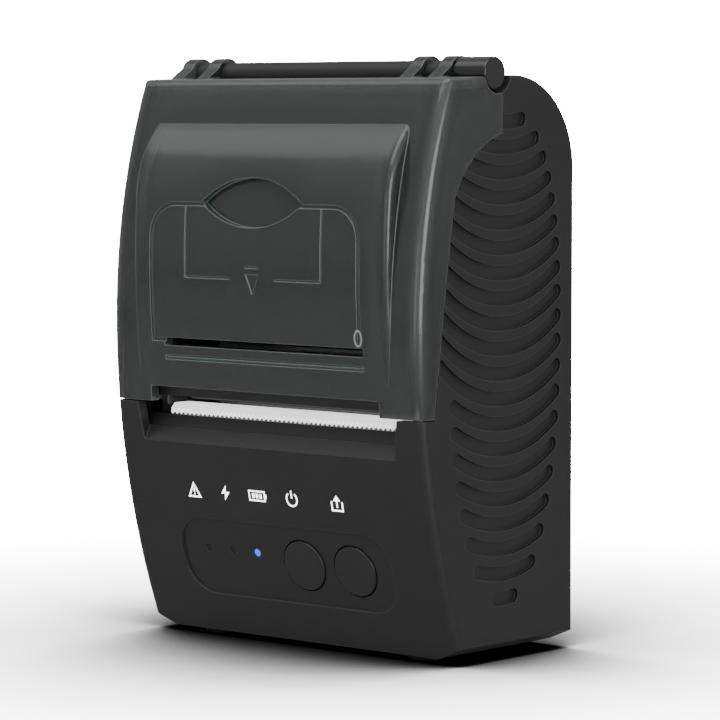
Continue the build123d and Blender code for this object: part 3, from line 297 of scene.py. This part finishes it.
CONTROL_NODES: dict[str, Finish] = {
    "power_button": BUTTON_PLASTIC,
    "feed_button": BUTTON_PLASTIC,
    "light_pipes": LIGHT_PIPES,
    "indicator_leds": LED_EPOXY,
    "tact_switches": SWITCH_PLASTIC,
    "button_board": BOARD_MASK,
    "main_board": BOARD_MASK,
    "charge_socket": MOTOR_STEEL,
}


class Paintbox:
    """Makes each finish's node material once and hands it out by name."""

    def __init__(self) -> None:
        """Start with no material made."""
        self._made: dict[str, bpy.types.Material] = {}

    def material(self, finish: Finish) -> bpy.types.Material:
        """Give the material of a finish, making it on first use.

        Args:
            finish: The finish to look up.

        Returns:
            The Blender material.
        """
        if finish.name not in self._made:
            material = bpy.data.materials.new(finish.name)
            material.use_nodes = True
            material.node_tree.nodes.clear()
            surface = {
                Plastic: self._plastic,
                Metal: self._metal,
                Clear: self._clear,
                Lamp: self._lamp,
                Board: self._board,
            }[type(finish)](material.node_tree, finish)
            add_node(
                material.node_tree, "ShaderNodeOutputMaterial", {}, {"Surface": surface}
            )
            self._made[finish.name] = material
        return self._made[finish.name]

    def _noise(self, tree: Tree, size_mm: float, detail: float = 3.0) -> Socket:
        """Noise with features of a real size.

        Args:
            tree: Node tree of the material.
            size_mm: Size of one feature in millimetres.
            detail: Octaves of finer noise.

        Returns:
            The noise's value socket.
        """
        place = add_node(tree, "ShaderNodeTexCoord", {}, {})
        noise = add_node(
            tree,
            "ShaderNodeTexNoise",
            {"Scale": 1 / (size_mm * MM), "Detail": detail},
            {"Vector": place.outputs["Object"]},
        )
        return noise.outputs["Fac"]

    def _shades(
        self, tree: Tree, amount: Socket, colour: str, other: str, change: float
    ) -> Socket:
        """Mix two shades of a colour by an amount socket.

        Args:
            tree: Node tree of the material.
            amount: Socket that chooses between the shades.
            colour: Hex colour of the first shade.
            other: Hex colour of the second shade.
            change: How far towards the second shade the mix may go.

        Returns:
            The mixed colour's socket.
        """
        share = add_node(
            tree, "ShaderNodeMath", {"operation": "MULTIPLY", 1: change}, {0: amount}
        )
        mix = add_node(
            tree,
            "ShaderNodeMix",
            {"data_type": "RGBA", 6: linear(colour), 7: linear(other)},
            {0: share.outputs[0]},
        )
        return mix.outputs[2]

    def _soft_normal(self, tree: Tree, edge_mm: float) -> Socket:
        """Normal that turns smoothly round hard edges.

        Args:
            tree: Node tree of the material.
            edge_mm: Radius that hard edges seem to have, in millimetres.

        Returns:
            The normal's socket.
        """
        soft = add_node(tree, "ShaderNodeBevel", {"samples": 6, "Radius": edge_mm * MM}, {})
        return soft.outputs[0]

    def _relief(self, tree: Tree, height: Socket, height_mm: float, normal: Socket) -> Socket:
        """Bump from a height socket on top of a normal.

        Args:
            tree: Node tree of the material.
            height: Socket of the relief's height.
            height_mm: Height of the relief in millimetres.
            normal: Socket of the normal under the relief.

        Returns:
            The normal's socket.
        """
        bump = add_node(
            tree,
            "ShaderNodeBump",
            {"Strength": 1.0, "Distance": height_mm * MM},
            {"Height": height, "Normal": normal},
        )
        return bump.outputs[0]

    def _edges(
        self, tree: Tree, normal: Socket, full: float = 0.93, most: float = 1.0
    ) -> Socket:
        """How much a point lies on a hard edge, from 0 to 1.

        Args:
            tree: Node tree of the material.
            normal: Socket of the softened normal.
            full: Cosine between softened and true normal that counts as a full edge.
            most: Amount on a full edge.

        Returns:
            The edge amount's socket.
        """
        shape = add_node(tree, "ShaderNodeNewGeometry", {}, {})
        turn = add_node(
            tree,
            "ShaderNodeVectorMath",
            {"operation": "DOT_PRODUCT"},
            {0: normal, 1: shape.outputs["Normal"]},
        )
        edge = add_node(
            tree,
            "ShaderNodeMapRange",
            {"From Min": 1.0, "From Max": full, "To Max": most},
            {"Value": turn.outputs["Value"]},
        )
        return edge.outputs[0]

    def _piped_light(self, tree: Tree, finish: Clear) -> Socket:
        """How far one looks along a clear wall instead of through it, from 0 to 1.

        Args:
            tree: Node tree of the material.
            finish: Clear finish with the depths of a plain wall and of a rim.

        Returns:
            The amount's socket: 0 on a plain wall, 1 on a rim or an edge.
        """
        deep = add_node(
            tree,
            "ShaderNodeAmbientOcclusion",
            {
                "samples": 8,
                "inside": True,
                "only_local": True,
                "Distance": finish.depth_mm * MM,
            },
            {},
        )
        amount = add_node(
            tree,
            "ShaderNodeMapRange",
            {"From Min": finish.plain_depth, "From Max": finish.rim_depth},
            {"Value": deep.outputs["AO"]},
        )
        return amount.outputs[0]

    def _plastic(self, tree: Tree, finish: Plastic) -> Socket:
        """Shader of a moulded surface.

        Args:
            tree: Node tree of the material.
            finish: The finish that gives the colours and sizes.

        Returns:
            The shader's output socket.
        """
        grain = self._noise(tree, finish.grain_mm)
        patches = self._noise(tree, finish.patch_mm, finish.patch_detail)
        normal = self._soft_normal(tree, finish.edge_mm)
        tone = self._shades(
            tree, patches, finish.colour, finish.patch_colour, finish.tone_change
        )
        # Painted edge highlight: hard edges turn towards a mid grey, pale lines like light
        # caught on the edges of dark parts
        edge_paint = add_node(
            tree,
            "ShaderNodeMath",
            {"operation": "MULTIPLY", 1: finish.painted_edge},
            {0: self._edges(tree, normal)},
        )
        colour = add_node(
            tree,
            "ShaderNodeMix",
            {"data_type": "RGBA", 7: linear(finish.painted_edge_colour)},
            {0: edge_paint.outputs[0], 6: tone},
        )
        rough = add_node(
            tree,
            "ShaderNodeMapRange",
            {
                "To Min": finish.roughness - finish.smoother,
                "To Max": finish.roughness + finish.rougher,
            },
            {"Value": grain},
        )
        shader = add_node(
            tree,
            "ShaderNodeBsdfPrincipled",
            {
                "Coat Weight": finish.coat,
                "Coat Roughness": finish.coat_roughness,
                "Emission Color": linear(finish.colour),
                "Emission Strength": finish.glow,
            },
            {
                "Base Color": colour.outputs[2],
                "Roughness": rough.outputs[0],
                "Normal": self._relief(tree, grain, finish.grain_height_mm, normal),
            },
        )
        return shader.outputs[0]

    def _metal(self, tree: Tree, finish: Metal) -> Socket:
        """Shader of a metal with fine lines along X.

        Args:
            tree: Node tree of the material.
            finish: The finish that gives the colours and sizes.

        Returns:
            The shader's output socket.
        """
        place = add_node(tree, "ShaderNodeTexCoord", {}, {})
        stretched = add_node(
            tree,
            "ShaderNodeMapping",
            {"Scale": (1 / finish.line_stretch, 1.0, 1.0)},
            {"Vector": place.outputs["Object"]},
        )
        lines = add_node(
            tree,
            "ShaderNodeTexNoise",
            {"Scale": 1 / (finish.line_mm * MM), "Detail": finish.line_detail},
            {"Vector": stretched.outputs[0]},
        )
        patches = self._noise(tree, finish.patch_mm, finish.patch_detail)
        rough = add_node(
            tree,
            "ShaderNodeMapRange",
            {
                "To Min": finish.roughness - finish.smoother,
                "To Max": finish.roughness + finish.rougher,
            },
            {"Value": lines.outputs["Fac"]},
        )
        shader = add_node(
            tree,
            "ShaderNodeBsdfPrincipled",
            {
                "Metallic": finish.metallic,
                "Emission Color": linear(finish.colour),
                "Emission Strength": finish.glow,
            },
            {
                "Base Color": self._shades(
                    tree, patches, finish.colour, finish.patch_colour, finish.patch_change
                ),
                "Roughness": rough.outputs[0],
                "Normal": self._relief(
                    tree,
                    lines.outputs["Fac"],
                    finish.line_height_mm,
                    self._soft_normal(tree, finish.edge_mm),
                ),
            },
        )
        return shader.outputs[0]

    def _clear(self, tree: Tree, finish: Clear) -> Socket:
        """Shader of tinted clear plastic with paler edges.

        Args:
            tree: Node tree of the material.
            finish: The finish that gives the colours and sizes.

        Returns:
            The shader's output socket.
        """
        ripple = self._noise(tree, finish.ripple_mm, finish.ripple_detail)
        normal = self._soft_normal(tree, finish.edge_mm)
        lit = add_node(
            tree,
            "ShaderNodeMath",
            {"operation": "MAXIMUM"},
            {
                0: self._piped_light(tree, finish),
                1: self._edges(tree, normal, finish.edge_turn, finish.edge_share),
            },
        )
        edge = lit.outputs[0]
        colour = add_node(
            tree,
            "ShaderNodeMix",
            {"data_type": "RGBA", 6: linear(finish.colour), 7: linear(finish.edge_colour)},
            {0: edge},
        )
        clarity = add_node(
            tree,
            "ShaderNodeMapRange",
            {"To Min": finish.clarity, "To Max": finish.clarity - finish.edge_haze},
            {"Value": edge},
        )
        shader = add_node(
            tree,
            "ShaderNodeBsdfPrincipled",
            {"IOR": finish.ior, "Roughness": finish.roughness},
            {
                "Base Color": colour.outputs[2],
                "Transmission Weight": clarity.outputs[0],
                "Normal": self._relief(tree, ripple, finish.ripple_height_mm, normal),
            },
        )
        return shader.outputs[0]

    def _lamp(self, tree: Tree, finish: Lamp) -> Socket:
        """Shader of light pipes that glow right of an X.

        Args:
            tree: Node tree of the material.
            finish: The finish that gives the colours and sizes.

        Returns:
            The shader's output socket.
        """
        place = add_node(tree, "ShaderNodeTexCoord", {}, {})
        axes = add_node(
            tree, "ShaderNodeSeparateXYZ", {}, {0: place.outputs["Object"]}
        )
        lit = add_node(
            tree,
            "ShaderNodeMath",
            {"operation": "GREATER_THAN", 1: finish.lit_from_x_mm * MM},
            {0: axes.outputs["X"]},
        )
        strength = add_node(
            tree,
            "ShaderNodeMath",
            {"operation": "MULTIPLY", 1: finish.strength},
            {0: lit.outputs[0]},
        )
        haze = self._noise(tree, finish.haze_mm)
        shader = add_node(
            tree,
            "ShaderNodeBsdfPrincipled",
            {"Emission Color": linear(finish.glow), "Roughness": finish.roughness},
            {
                "Base Color": self._shades(
                    tree, haze, finish.colour, finish.haze_colour, finish.haze_change
                ),
                "Emission Strength": strength.outputs[0],
            },
        )
        return shader.outputs[0]

    def _board(self, tree: Tree, finish: Board) -> Socket:
        """Shader of a circuit board with tracks under its mask.

        Args:
            tree: Node tree of the material.
            finish: The finish that gives the colours and sizes.

        Returns:
            The shader's output socket.
        """
        place = add_node(tree, "ShaderNodeTexCoord", {}, {})
        cells = add_node(
            tree,
            "ShaderNodeTexBrick",
            {
                "Color1": linear(finish.colour),
                "Color2": linear(finish.colour),
                "Mortar": linear(finish.track_colour),
                "Scale": 1 / (finish.track_mm * MM),
                "Mortar Size": finish.track_share,
            },
            {"Vector": place.outputs["Object"]},
        )
        haze = self._noise(tree, finish.haze_mm)
        shader = add_node(
            tree,
            "ShaderNodeBsdfPrincipled",
            {"Roughness": finish.roughness},
            {
                "Base Color": cells.outputs["Color"],
                "Normal": self._relief(
                    tree, haze, finish.haze_height_mm, self._soft_normal(tree, finish.edge_mm)
                ),
            },
        )
        return shader.outputs[0]


@dataclass
class SubAssembly:
    """CAD nodes that are put together on the bench, each with its finish."""

    name: str
    finishes: dict[str, Finish]

    def build(self, paints: Paintbox) -> None:
        """Give each node its material.

        Args:
            paints: Source of the materials.
        """
        for name, finish in self.finishes.items():
            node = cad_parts[name]
            node.data.materials.clear()
            node.data.materials.append(paints.material(finish))
            LOG.info("%s: %s in %s", self.name, name, finish.name)


def ring(outer: Outline, inner: Outline) -> list[Outline]:
    """Cut the band between two outlines with the same number of points into quads.

    Args:
        outer: Points of the outer outline, in order.
        inner: Points of the inner outline, in the same order.

    Returns:
        One four-sided outline for each pair of neighbouring points.
    """
    count = len(outer)
    return [
        [outer[i], outer[(i + 1) % count], inner[(i + 1) % count], inner[i]]
        for i in range(count)
    ]


def oval(width: float, height: float, points: int = 40) -> Outline:
    """Points of an upright oval round the origin.

    Args:
        width: Full width in millimetres.
        height: Full height in millimetres.
        points: How many points it gets.

    Returns:
        The oval's points, anticlockwise.
    """
    return [
        (
            width / 2 * math.cos(2 * math.pi * i / points),
            height / 2 * math.sin(2 * math.pi * i / points),
        )
        for i in range(points)
    ]


def bar(x: float, z: float, width: float, height: float) -> Outline:
    """Points of an upright rectangle with its middle at a place.

    Args:
        x: Middle across, in millimetres.
        z: Middle upwards, in millimetres.
        width: Full width in millimetres.
        height: Full height in millimetres.

    Returns:
        The rectangle's four corners, anticlockwise.
    """
    w, h = width / 2, height / 2
    return [(x - w, z - h), (x + w, z - h), (x + w, z + h), (x - w, z + h)]


@dataclass
class PrintedMark:
    """A flat mark printed on a curved face: outlines in millimetres round its own middle."""

    name: str
    node: str
    body: Body
    finish: Finish
    middle: Point
    outlines: list[Outline]
    lift_mm: float = 0.02
    ink_mm: float = 0.03
    weld_mm: float = 0.001
    span_mm: float = 0.0

    def build(self, paints: Paintbox) -> bpy.types.Object:
        """Lay the mark on its node's front face and let it ride there.

        Args:
            paints: Source of the ink's material.

        Returns:
            The mark's object.
        """
        form = bmesh.new()
        for outline in self.outlines:
            corners = [
                form.verts.new(((x + self.middle[0]) * MM, 0.0, (z + self.middle[1]) * MM))
                for x, z in outline
            ]
            form.faces.new(corners)
        bmesh.ops.remove_doubles(form, verts=form.verts, dist=self.weld_mm * MM)
        bmesh.ops.triangulate(form, faces=form.faces)
        for vert in form.verts:
            vert.co.y = self._face_y(vert.co.x, vert.co.z) - self.lift_mm * MM
        front = bmesh.ops.extrude_face_region(form, geom=list(form.faces))
        for item in front["geom"]:
            if isinstance(item, bmesh.types.BMVert):
                item.co.y -= self.ink_mm * MM
        bmesh.ops.recalc_face_normals(form, faces=form.faces)
        mesh = bpy.data.meshes.new(self.name)
        form.to_mesh(mesh)
        form.free()
        mark = bpy.data.objects.new(self.name, mesh)
        bpy.context.scene.collection.objects.link(mark)
        mesh.materials.append(paints.material(self.finish))
        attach(mark, self.body.value)
        return mark

    def _face_y(self, x: float, z: float) -> float:
        """Y of the node's front face at a place, or of the frontmost face within the span.

        Args:
            x: Place across, in metres.
            z: Place upwards, in metres.

        Returns:
            Y of the first face met from the front, in metres. A mark that crosses a groove
            has a span, so that it isn't swallowed.
        """
        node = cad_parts[self.node]
        met = []
        for aside in (-self.span_mm * MM, 0.0, self.span_mm * MM):
            start = Vector((x + aside, -1.0, z))
            hit, place, _, _ = node.ray_cast(start, Vector((0.0, 1.0, 0.0)))
            met.append(place.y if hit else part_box(self.node)[0].y)
        return min(met)


@dataclass
class FrontMarks:
    """White pictograms over the indicators and buttons, and the grey mark on the cover.

    The factors in the pictograms' outlines are shares of the row's height.
    """

    row_z: float = 29.5
    tall: float = 2.9
    line: float = 0.31
    warning_x: float = -20.2
    charge_x: float = -12.0
    battery_x: float = -3.8
    power_x: float = 5.1
    feed_x: float = 16.4
    cover_mark: Point = (25.0, 60.8)
    cover_mark_size: Point = (2.1, 3.3)
    cover_mark_line: float = 0.45
    cover_groove: float = 0.8
    marks: list[PrintedMark] = field(default_factory=list)

    def build(self, paints: Paintbox) -> None:
        """Lay all marks on the case and on the cover.

        Args:
            paints: Source of the inks.
        """
        drawn = {
            "print_warning": (self.warning_x, self._warning()),
            "print_charge": (self.charge_x, self._charge()),
            "print_battery": (self.battery_x, self._battery()),
            "print_power": (self.power_x, self._power()),
            "print_feed": (self.feed_x, self._feed()),
        }
        for name, (x, outlines) in drawn.items():
            self.marks.append(
                PrintedMark(name, "main_case", Body.CASE, PRINT_INK, (x, self.row_z), outlines)
            )
        width, height = self.cover_mark_size
        inner = oval(width - 2 * self.cover_mark_line, height - 2 * self.cover_mark_line)
        self.marks.append(
            PrintedMark(
                "print_zero",
                "cover_shell",
                Body.COVER,
                PALE_INK,
                self.cover_mark,
                ring(oval(width, height), inner),
                span_mm=self.cover_groove,
            )
        )
        for mark in self.marks:
            mark.build(paints)
            LOG.info("printed %s on %s", mark.name, mark.node)

    def _warning(self) -> list[Outline]:
        """Outlines of a triangle with an exclamation bar and dot."""
        half = self.tall / 2
        outer = [(-1.2 * half, -half), (1.2 * half, -half), (0.0, 1.1 * half)]
        inner = [(x * 0.68, z * 0.68 - 0.05 * self.tall) for x, z in outer]
        stem = bar(0.0, -0.02 * self.tall, 0.8 * self.line, 0.3 * self.tall)
        dot = bar(0.0, -0.29 * self.tall, 0.8 * self.line, 0.8 * self.line)
        return ring(outer, inner) + [stem, dot]

    def _charge(self) -> list[Outline]:
        """Outlines of a lightning bolt, as its upper and lower halves."""
        half = self.tall / 2
        upper = [(0.2 * half, half), (-0.75 * half, -0.15 * half), (0.05 * half, -0.1 * half)]
        lower = [(-0.2 * half, -half), (0.75 * half, 0.15 * half), (-0.05 * half, 0.1 * half)]
        return [upper, lower]

    def _battery(self) -> list[Outline]:
        """Outlines of a lying battery with its pole and three bars."""
        wide, tall = 1.45 * self.tall, 0.72 * self.tall
        case = ring(
            bar(0.0, 0.0, wide, tall),
            bar(0.0, 0.0, wide - 2 * self.line, tall - 2 * self.line),
        )
        pole = bar(wide / 2 + self.line / 2, 0.0, self.line, 0.4 * tall)
        cells = [bar(x * wide / 4.6, 0.0, 0.14 * wide, 0.42 * tall) for x in (-1, 0, 1)]
        return case + [pole] + cells

    def _power(self) -> list[Outline]:
        """Outlines of an open ring with a bar in its gap."""
        steps, gap = 30, math.radians(38)
        radius = self.tall / 2 - self.line / 2
        sweep = 2 * math.pi - 2 * gap
        angles = [math.pi / 2 + gap + sweep * i / steps for i in range(steps + 1)]
        arc = []
        for start, end in zip(angles, angles[1:]):
            arc.append(
                [
                    (r * math.cos(a), r * math.sin(a))
                    for a, r in (
                        (start, radius + self.line / 2),
                        (end, radius + self.line / 2),
                        (end, radius - self.line / 2),
                        (start, radius - self.line / 2),
                    )
                ]
            )
        return arc + [bar(0.0, 0.32 * self.tall, self.line, 0.5 * self.tall)]

    def _feed(self) -> list[Outline]:
        """Outlines of a sheet with an arrow that points up out of it."""
        half = self.tall / 2
        tray = [
            bar(-0.9 * half, -0.35 * half, self.line, 1.3 * half),
            bar(0.9 * half, -0.35 * half, self.line, 1.3 * half),
            bar(0.0, -half + self.line / 2, 1.8 * half, self.line),
        ]
        stem = bar(0.0, 0.05 * half, self.line, 1.1 * half)
        head = [(-0.6 * half, 0.35 * half), (0.6 * half, 0.35 * half), (0.0, 1.1 * half)]
        return tray + [stem, head]


@dataclass(frozen=True)
class Softbox:
    """Square area light: where it hangs and what it faces in metres, and its power in watts."""

    name: str
    place: Place
    target: Place
    size: float
    power: float

    def build(self) -> None:
        """Hang the light so that it faces its target."""
        light = bpy.data.lights.new(self.name, "AREA")
        light.size = self.size
        light.energy = self.power
        lamp = bpy.data.objects.new(self.name, light)
        lamp.location = self.place
        direction = Vector(self.target) - Vector(self.place)
        lamp.rotation_mode = "QUATERNION"
        lamp.rotation_quaternion = direction.to_track_quat("-Z", "Y")
        bpy.context.scene.collection.objects.link(lamp)
        LOG.info("hung the %s softbox", self.name)


@dataclass
class Studio:
    """White room, pale floor, softboxes and the camera of the photograph, in metres.

    What the camera sees of the room and the floor is set apart from what lights the object.
    """

    azimuth_deg: float = 41.0
    pitch_deg: float = 4.181
    camera_mm: Place = (434.96, -493.96, 102.57)
    lens_mm: float = 171.57
    sensor_mm: float = 36.0
    clip_start: float = 0.05
    clip_end: float = 10.0
    floor_radius: float = 1.6
    floor_sides: int = 96
    floor_near: float = 0.10
    floor_far: float = 0.30
    room_colour: str = "#ffffff"
    room_seen: float = 30.0
    room_light: float = 0.48
    floor_seen: float = 12.0
    floor_light: float = 0.5
    shade_reach: float = 0.13
    shade_depth: float = 6.5
    shade_samples: int = 32
    softboxes: tuple[Softbox, ...] = (
        Softbox("key", (0.1, -0.35, 0.75), (0.0, 0.0, 0.06), 0.7, 4.2),
        Softbox("side", (0.88, -0.3, 0.14), (0.0, 0.0, 0.06), 0.5, 3.6),
        Softbox("front", (-0.65, -0.28, 0.82), (0.0, 0.0, 0.05), 0.45, 0.6),
        Softbox("low", (0.2, -0.9, 0.1), (0.0, 0.0, 0.06), 0.3, 0.35),
    )

    def build(self) -> None:
        """Set up the room, the floor, the lights and the camera."""
        self._room()
        self._floor()
        for softbox in self.softboxes:
            softbox.build()
        self._camera()

    def _seen(self, tree: Tree, seen: Socket, otherwise: Socket) -> Socket:
        """Choose a shader for the camera and another for all other light.

        Args:
            tree: Node tree of the material or of the room.
            seen: Socket of the shader that the camera sees.
            otherwise: Socket of the shader that lights and mirrors in the object.

        Returns:
            The mixed shader's socket.
        """
        path = add_node(tree, "ShaderNodeLightPath", {}, {})
        mix = add_node(
            tree,
            "ShaderNodeMixShader",
            {},
            {0: path.outputs["Is Camera Ray"], 1: otherwise, 2: seen},
        )
        return mix.outputs[0]

    def _room(self) -> None:
        """White surroundings that light the object more softly than they look."""
        world = bpy.data.worlds.new("white_room")
        world.use_nodes = True
        tree = world.node_tree
        tree.nodes.clear()
        seen, light = (
            add_node(
                tree,
                "ShaderNodeBackground",
                {"Color": linear(self.room_colour), "Strength": strength},
                {},
            ).outputs[0]
            for strength in (self.room_seen, self.room_light)
        )
        add_node(
            tree, "ShaderNodeOutputWorld", {}, {"Surface": self._seen(tree, seen, light)}
        )
        bpy.context.scene.world = world

    def _floor(self) -> None:
        """Pale disc that takes the soft shadow, deepened near the object by painted shade, and
        fades into the white room.
        """
        form = bmesh.new()
        bmesh.ops.create_circle(
            form, cap_ends=True, segments=self.floor_sides, radius=self.floor_radius
        )
        mesh = bpy.data.meshes.new("floor")
        form.to_mesh(mesh)
        form.free()
        floor = bpy.data.objects.new("floor", mesh)
        bpy.context.scene.collection.objects.link(floor)
        material = bpy.data.materials.new("floor_paper")
        material.use_nodes = True
        tree = material.node_tree
        tree.nodes.clear()
        place = add_node(tree, "ShaderNodeTexCoord", {}, {})
        away = add_node(
            tree,
            "ShaderNodeVectorMath",
            {"operation": "LENGTH"},
            {0: place.outputs["Object"]},
        )
        fade = add_node(
            tree,
            "ShaderNodeMapRange",
            {
                "interpolation_type": "SMOOTHSTEP",
                "From Min": self.floor_near,
                "From Max": self.floor_far,
            },
            {"Value": away.outputs["Value"]},
        )
        # Painted shade: the floor's colour darkens by a power of its open sky, darkest close
        # under and round the object
        open_sky = add_node(
            tree,
            "ShaderNodeAmbientOcclusion",
            {"samples": self.shade_samples, "Distance": self.shade_reach},
            {},
        )
        shade = add_node(
            tree,
            "ShaderNodeMath",
            {"operation": "POWER", 1: self.shade_depth},
            {0: open_sky.outputs["AO"]},
        )
        seen_grey = add_node(
            tree,
            "ShaderNodeMath",
            {"operation": "MULTIPLY", 1: self.floor_seen},
            {0: shade.outputs[0]},
        )
        paper = add_node(tree, "ShaderNodeBsdfDiffuse", {}, {"Color": seen_grey.outputs[0]})
        bounce = add_node(
            tree,
            "ShaderNodeBsdfDiffuse",
            {"Color": (self.floor_light, self.floor_light, self.floor_light, 1.0)},
            {},
        )
        glow = add_node(
            tree,
            "ShaderNodeEmission",
            {"Color": linear(self.room_colour), "Strength": self.room_seen},
            {},
        )
        seen = add_node(
            tree,
            "ShaderNodeMixShader",
            {},
            {0: fade.outputs[0], 1: paper.outputs[0], 2: glow.outputs[0]},
        )
        surface = self._seen(tree, seen.outputs[0], bounce.outputs[0])
        add_node(tree, "ShaderNodeOutputMaterial", {}, {"Surface": surface})
        mesh.materials.append(material)

    def _camera(self) -> None:
        """Camera with the photograph's place, direction and lens."""
        azimuth = math.radians(self.azimuth_deg)
        pitch = math.radians(self.pitch_deg)
        right = Vector((math.cos(azimuth), math.sin(azimuth), 0.0))
        back = Vector(
            (
                math.sin(azimuth) * math.cos(pitch),
                -math.cos(azimuth) * math.cos(pitch),
                math.sin(pitch),
            )
        )
        up = back.cross(right)
        lens = bpy.data.cameras.new("camera")
        lens.lens = self.lens_mm
        lens.sensor_width = self.sensor_mm
        lens.clip_start = self.clip_start
        lens.clip_end = self.clip_end
        camera = bpy.data.objects.new("camera", lens)
        turn = Matrix((right, up, back)).transposed().to_4x4()
        camera.matrix_world = Matrix.Translation(Vector(self.camera_mm) * MM) @ turn
        bpy.context.scene.collection.objects.link(camera)
        bpy.context.scene.camera = camera


class ReceiptPrinter:
    """The whole scene: the dressed CAD parts with their printed marks, in a studio."""

    def __init__(self) -> None:
        """Set out the sub-assemblies, the marks and the studio."""
        self.paints = Paintbox()
        self.sub_assemblies = [
            SubAssembly("case", CASE_NODES),
            SubAssembly("cover", COVER_NODES),
            SubAssembly("paper feed", FEED_NODES),
            SubAssembly("print head", PRINT_NODES),
            SubAssembly("controls", CONTROL_NODES),
        ]
        self.marks = FrontMarks()
        self.studio = Studio()

    def build(self) -> None:
        """Dress the parts, print the marks and set up the studio."""
        for sub_assembly in self.sub_assemblies:
            sub_assembly.build(self.paints)
        self.marks.build(self.paints)
        self.studio.build()


def corners(box: tuple[Vector, Vector]) -> list[list[float]]:
    """Give a box as plain lists.

    Args:
        box: Lowest and highest corner.

    Returns:
        The two corners as lists of numbers.
    """
    return [list(corner) for corner in box]


def main() -> None:
    """Build the scene."""
    logging.basicConfig(level=logging.INFO)
    ReceiptPrinter().build()
    bpy.context.view_layer.update()


if __name__ == "__main__":
    main()
